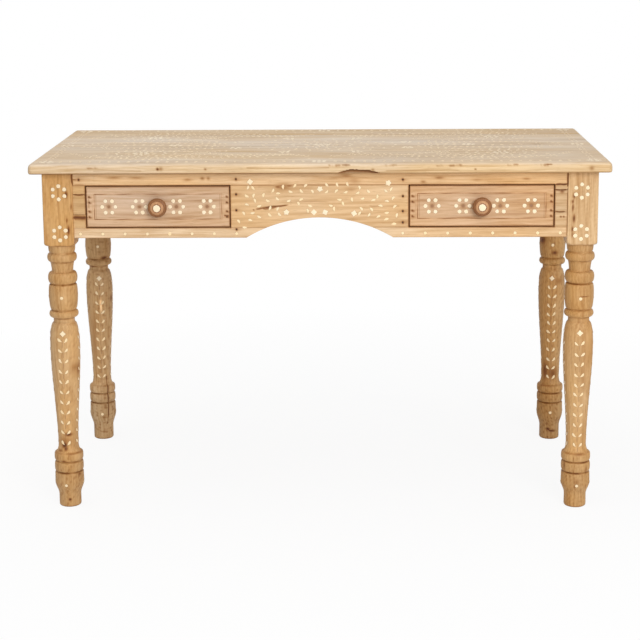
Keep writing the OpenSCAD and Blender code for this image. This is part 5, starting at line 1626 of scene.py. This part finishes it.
def make_nails():
    """Hand-driven steel nails in the frame and the drawer fronts, their heads just under the surface."""
    small = (1.9, 1.0, 0.9, 41)
    for body, sizes in (("frame", (2.4, 1.1, 1.3, 49)), ("drawer_left", small), ("drawer_right", small)):
        node = f"{body}_nails"
        shells = {"nail_a": nail_shell(*sizes, 1), "nail_b": nail_shell(*sizes, 2)}
        draw = np.random.default_rng(len(node))
        places = []
        for x, y, z in nail_places(node):
            lean = facing_matrix((1, 0, 0), (draw.normal(0, 0.05), -1, draw.normal(0, 0.05)))
            places.append((f"nail_{'ab'[len(places) % 2]}", (x, y + NAIL_SUNK, z), lean, ONE))
        piece = set_pieces(f"{body}_nail_heads", places, shells, finish("nail_steel"), 0.06, 0.5, 3)
        place_piece(piece, body, "nail_steel", node)


def make_inner_work():
    """The wood inside the desk and the screws, which keep their CAD shapes."""
    along = ["divider_left", "divider_right", "centre_batten", "drawer_stops"]
    across, screws = [], ["top_screws"]
    for name in SIDES:
        along += [f"{kind}_{name}_{place}" for kind in ("runner", "kicker") for place in ("outer", "inner")]
        along += [f"guide_{name}", f"drawer_{name}_side_outer", f"drawer_{name}_side_inner"]
        across += [f"drawer_{name}_back", f"drawer_{name}_bottom"]
        screws += [f"drawer_{name}_knob_screw"]
    for nodes, name in ((along, "inner_wood_along"), (across, "inner_wood_across"), (screws, "screw_steel")):
        for node in nodes:
            carry_over(node, name)


# ---- Stage


def seen_directly(tree):
    """1 for rays from the camera, or from it by gloss or through glass, and 0 for light on the desk."""
    rays = add(tree, "ShaderNodeLightPath").outputs
    seen = add(tree, "ShaderNodeMath", [rays["Is Camera Ray"], rays["Is Glossy Ray"]], operation="MAXIMUM")
    return add(tree, "ShaderNodeMath", [seen, rays["Is Transmission Ray"]], operation="MAXIMUM")


def floor_material():
    """A white studio floor that shows a faint shadow near the desk and is plain white further away."""
    material, tree = new_material("studio_floor")
    place = add(tree, "ShaderNodeTexCoord").outputs["Object"]
    distance = add(tree, "ShaderNodeVectorMath", [place], operation="LENGTH").outputs["Value"]
    fade = add(tree, "ShaderNodeMapRange", [distance, 0.6, 1.7, 0.9, 1.0])
    share = add(tree, "ShaderNodeMath", [fade, seen_directly(tree)], operation="MULTIPLY")
    paint = add(tree, "ShaderNodeBsdfDiffuse", {"Color": (0.9, 0.9, 0.9, 1)})
    glow = add(tree, "ShaderNodeEmission", {"Color": (1, 1, 1, 1), "Strength": 1.0})
    mixed = add(tree, "ShaderNodeMixShader", [share, paint, glow])
    add(tree, "ShaderNodeOutputMaterial", {"Surface": mixed})
    return material


def make_world(strength):
    """Even light from all round, and plain white where the camera, gloss or glass sees past the floor."""
    world = bpy.data.worlds.new("studio")
    bpy.context.scene.world = world
    world.use_nodes = True
    tree = world.node_tree
    tree.nodes.clear()
    room = add(tree, "ShaderNodeBackground", {"Color": (1, 1, 1, 1), "Strength": strength})
    white = add(tree, "ShaderNodeBackground", {"Color": (1, 1, 1, 1), "Strength": 1.0})
    mixed = add(tree, "ShaderNodeMixShader", [seen_directly(tree), room, white])
    add(tree, "ShaderNodeOutputWorld", {"Surface": mixed})


def lamp(name, power, place, aim, size):
    data = bpy.data.lights.new(name, "AREA")
    data.energy, data.shape, data.size, data.size_y = power, "RECTANGLE", size[0], size[1]
    shown = bpy.data.objects.new(name, data)
    shown.location = place
    shown.rotation_euler = (Vector(aim) - Vector(place)).to_track_quat("-Z", "Y").to_euler()
    bpy.context.scene.collection.objects.link(shown)


# The camera as it was fitted to the photograph: metres, degrees, and pixels of a frame 640 wide
CAMERA_PLACE = (0.07878, -3.75404, 1.24076)
CAMERA_YAW, CAMERA_PITCH, CAMERA_ROLL = -1.28753, 10.52225, -0.38563
FRAME_SIZE, FOCAL_PIXELS, SHIFT_PIXELS = 640, 1673.43, -80
SENSOR_MM = 36
FLOOR_HALF = 9.0


def make_camera():
    data = bpy.data.cameras.new("camera")
    data.sensor_width, data.lens = SENSOR_MM, FOCAL_PIXELS / FRAME_SIZE * SENSOR_MM
    data.shift_y = SHIFT_PIXELS / FRAME_SIZE
    data.clip_start, data.clip_end = 0.05, 60
    yaw, pitch, roll = (math.radians(v) for v in (CAMERA_YAW, CAMERA_PITCH, CAMERA_ROLL))
    ahead = Vector((math.sin(yaw) * math.cos(pitch), math.cos(yaw) * math.cos(pitch), -math.sin(pitch)))
    right = Vector((math.cos(yaw), -math.sin(yaw), 0))
    above = right.cross(ahead)
    rolled_right = right * math.cos(roll) + above * math.sin(roll)
    rolled_above = above * math.cos(roll) - right * math.sin(roll)
    turn = Matrix((rolled_right, rolled_above, -ahead)).transposed()
    camera = bpy.data.objects.new("camera", data)
    camera.matrix_world = Matrix.Translation(CAMERA_PLACE) @ turn.to_4x4()
    bpy.context.scene.collection.objects.link(camera)
    bpy.context.scene.camera = camera


def make_stage(settings):
    mesh = bpy.data.meshes.new("floor")
    corners = [(x * FLOOR_HALF, y * FLOOR_HALF, 0) for x, y in ((-1, -1), (1, -1), (1, 1), (-1, 1))]
    mesh.from_pydata(corners, [], [(0, 1, 2, 3)])
    mesh.materials.append(floor_material())
    floor = bpy.data.objects.new("floor", mesh)
    bpy.context.scene.collection.objects.link(floor)
    make_world(settings.sky)
    lamp("front_lamp", settings.key, (1.5, -4.2, 2.2), (0, 0, 0.45), (2.2, 2.0))
    lamp("overhead_lamp", settings.side, (-0.6, -0.6, 3.4), (0, 0, 0.5), (3.0, 2.4))
    bpy.context.scene.view_settings.view_transform = "Standard"
    make_camera()


# ---- Operators


class DESK_OT_top(bpy.types.Operator):
    """Make the five boards of the top"""

    bl_idname = "desk.make_top"
    bl_label = "Top boards"

    def execute(self, context):
        for index in range(1, BOARDS + 1):
            top_board(index, context.scene.desk_top)
        return {"FINISHED"}


class DESK_OT_frame(bpy.types.Operator):
    """Make the rails, the arched panel, the end blocks and the aprons"""

    bl_idname = "desk.make_frame"
    bl_label = "Frame"

    def execute(self, context):
        make_front_frame(context.scene.desk_frame)
        make_aprons(context.scene.desk_frame)
        return {"FINISHED"}


class DESK_OT_legs(bpy.types.Operator):
    """Make the four turned legs"""

    bl_idname = "desk.make_legs"
    bl_label = "Turned legs"

    def execute(self, context):
        for way in ("front", "rear"):
            for side in SIDES:
                make_leg(way, side, context.scene.desk_legs)
        return {"FINISHED"}


class DESK_OT_drawers(bpy.types.Operator):
    """Make the drawer fronts and their knobs"""

    bl_idname = "desk.make_drawers"
    bl_label = "Drawer fronts and knobs"

    def execute(self, context):
        for side in SIDES:
            make_drawer_front(side, context.scene.desk_drawers)
            make_knob(side)
        return {"FINISHED"}


class DESK_OT_inlay(bpy.types.Operator):
    """Let the bone pieces into the wood, each in its bed of lac"""

    bl_idname = "desk.make_inlay"
    bl_label = "Bone inlay"

    def execute(self, context):
        make_inlay(context.scene.desk_inlay)
        return {"FINISHED"}


class DESK_OT_nails(bpy.types.Operator):
    """Drive the nails of the frame and the drawers"""

    bl_idname = "desk.make_nails"
    bl_label = "Nails"

    def execute(self, context):
        make_nails()
        return {"FINISHED"}


class DESK_OT_inner_work(bpy.types.Operator):
    """Give the runners, dividers, drawer boxes and screws their finish"""

    bl_idname = "desk.finish_inner_work"
    bl_label = "Inner work"

    def execute(self, context):
        make_inner_work()
        return {"FINISHED"}


class DESK_OT_stage(bpy.types.Operator):
    """Set up the floor, the lamps, the room light and the camera"""

    bl_idname = "desk.make_stage"
    bl_label = "Stage"

    def execute(self, context):
        make_stage(context.scene.desk_stage)
        return {"FINISHED"}


OPERATORS = (
    DESK_OT_top,
    DESK_OT_frame,
    DESK_OT_legs,
    DESK_OT_drawers,
    DESK_OT_inlay,
    DESK_OT_nails,
    DESK_OT_inner_work,
    DESK_OT_stage,
)
SETTINGS = {
    "desk_top": DeskTopSettings,
    "desk_frame": DeskFrameSettings,
    "desk_legs": DeskLegSettings,
    "desk_drawers": DeskDrawerSettings,
    "desk_inlay": DeskInlaySettings,
    "desk_stage": DeskStageSettings,
}


class DESK_PT_pieces(bpy.types.Panel):
    """The desk's pieces and the stage"""

    bl_idname = "DESK_PT_pieces"
    bl_label = "Writing desk"
    bl_space_type = "VIEW_3D"
    bl_region_type = "UI"
    bl_category = "Desk"

    def draw(self, context):
        for operator in OPERATORS:
            self.layout.operator(operator.bl_idname)
        for title, group in SETTINGS.items():
            box = self.layout.box()
            for setting in group.__annotations__:
                box.prop(getattr(context.scene, title), setting)


def register():
    for kind in (*SETTINGS.values(), *OPERATORS, DESK_PT_pieces):
        bpy.utils.register_class(kind)
    for title, group in SETTINGS.items():
        setattr(bpy.types.Scene, title, bpy.props.PointerProperty(type=group))


def unregister():
    for title in SETTINGS:
        delattr(bpy.types.Scene, title)
    for kind in (DESK_PT_pieces, *reversed(OPERATORS), *SETTINGS.values()):
        bpy.utils.unregister_class(kind)


def main():
    register()
    bpy.ops.desk.make_top()
    bpy.ops.desk.make_frame()
    bpy.ops.desk.make_legs()
    bpy.ops.desk.make_drawers()
    bpy.ops.desk.make_inlay()
    bpy.ops.desk.make_nails()
    bpy.ops.desk.finish_inner_work()
    bpy.ops.desk.make_stage()


if __name__ == "__main__":
    main()
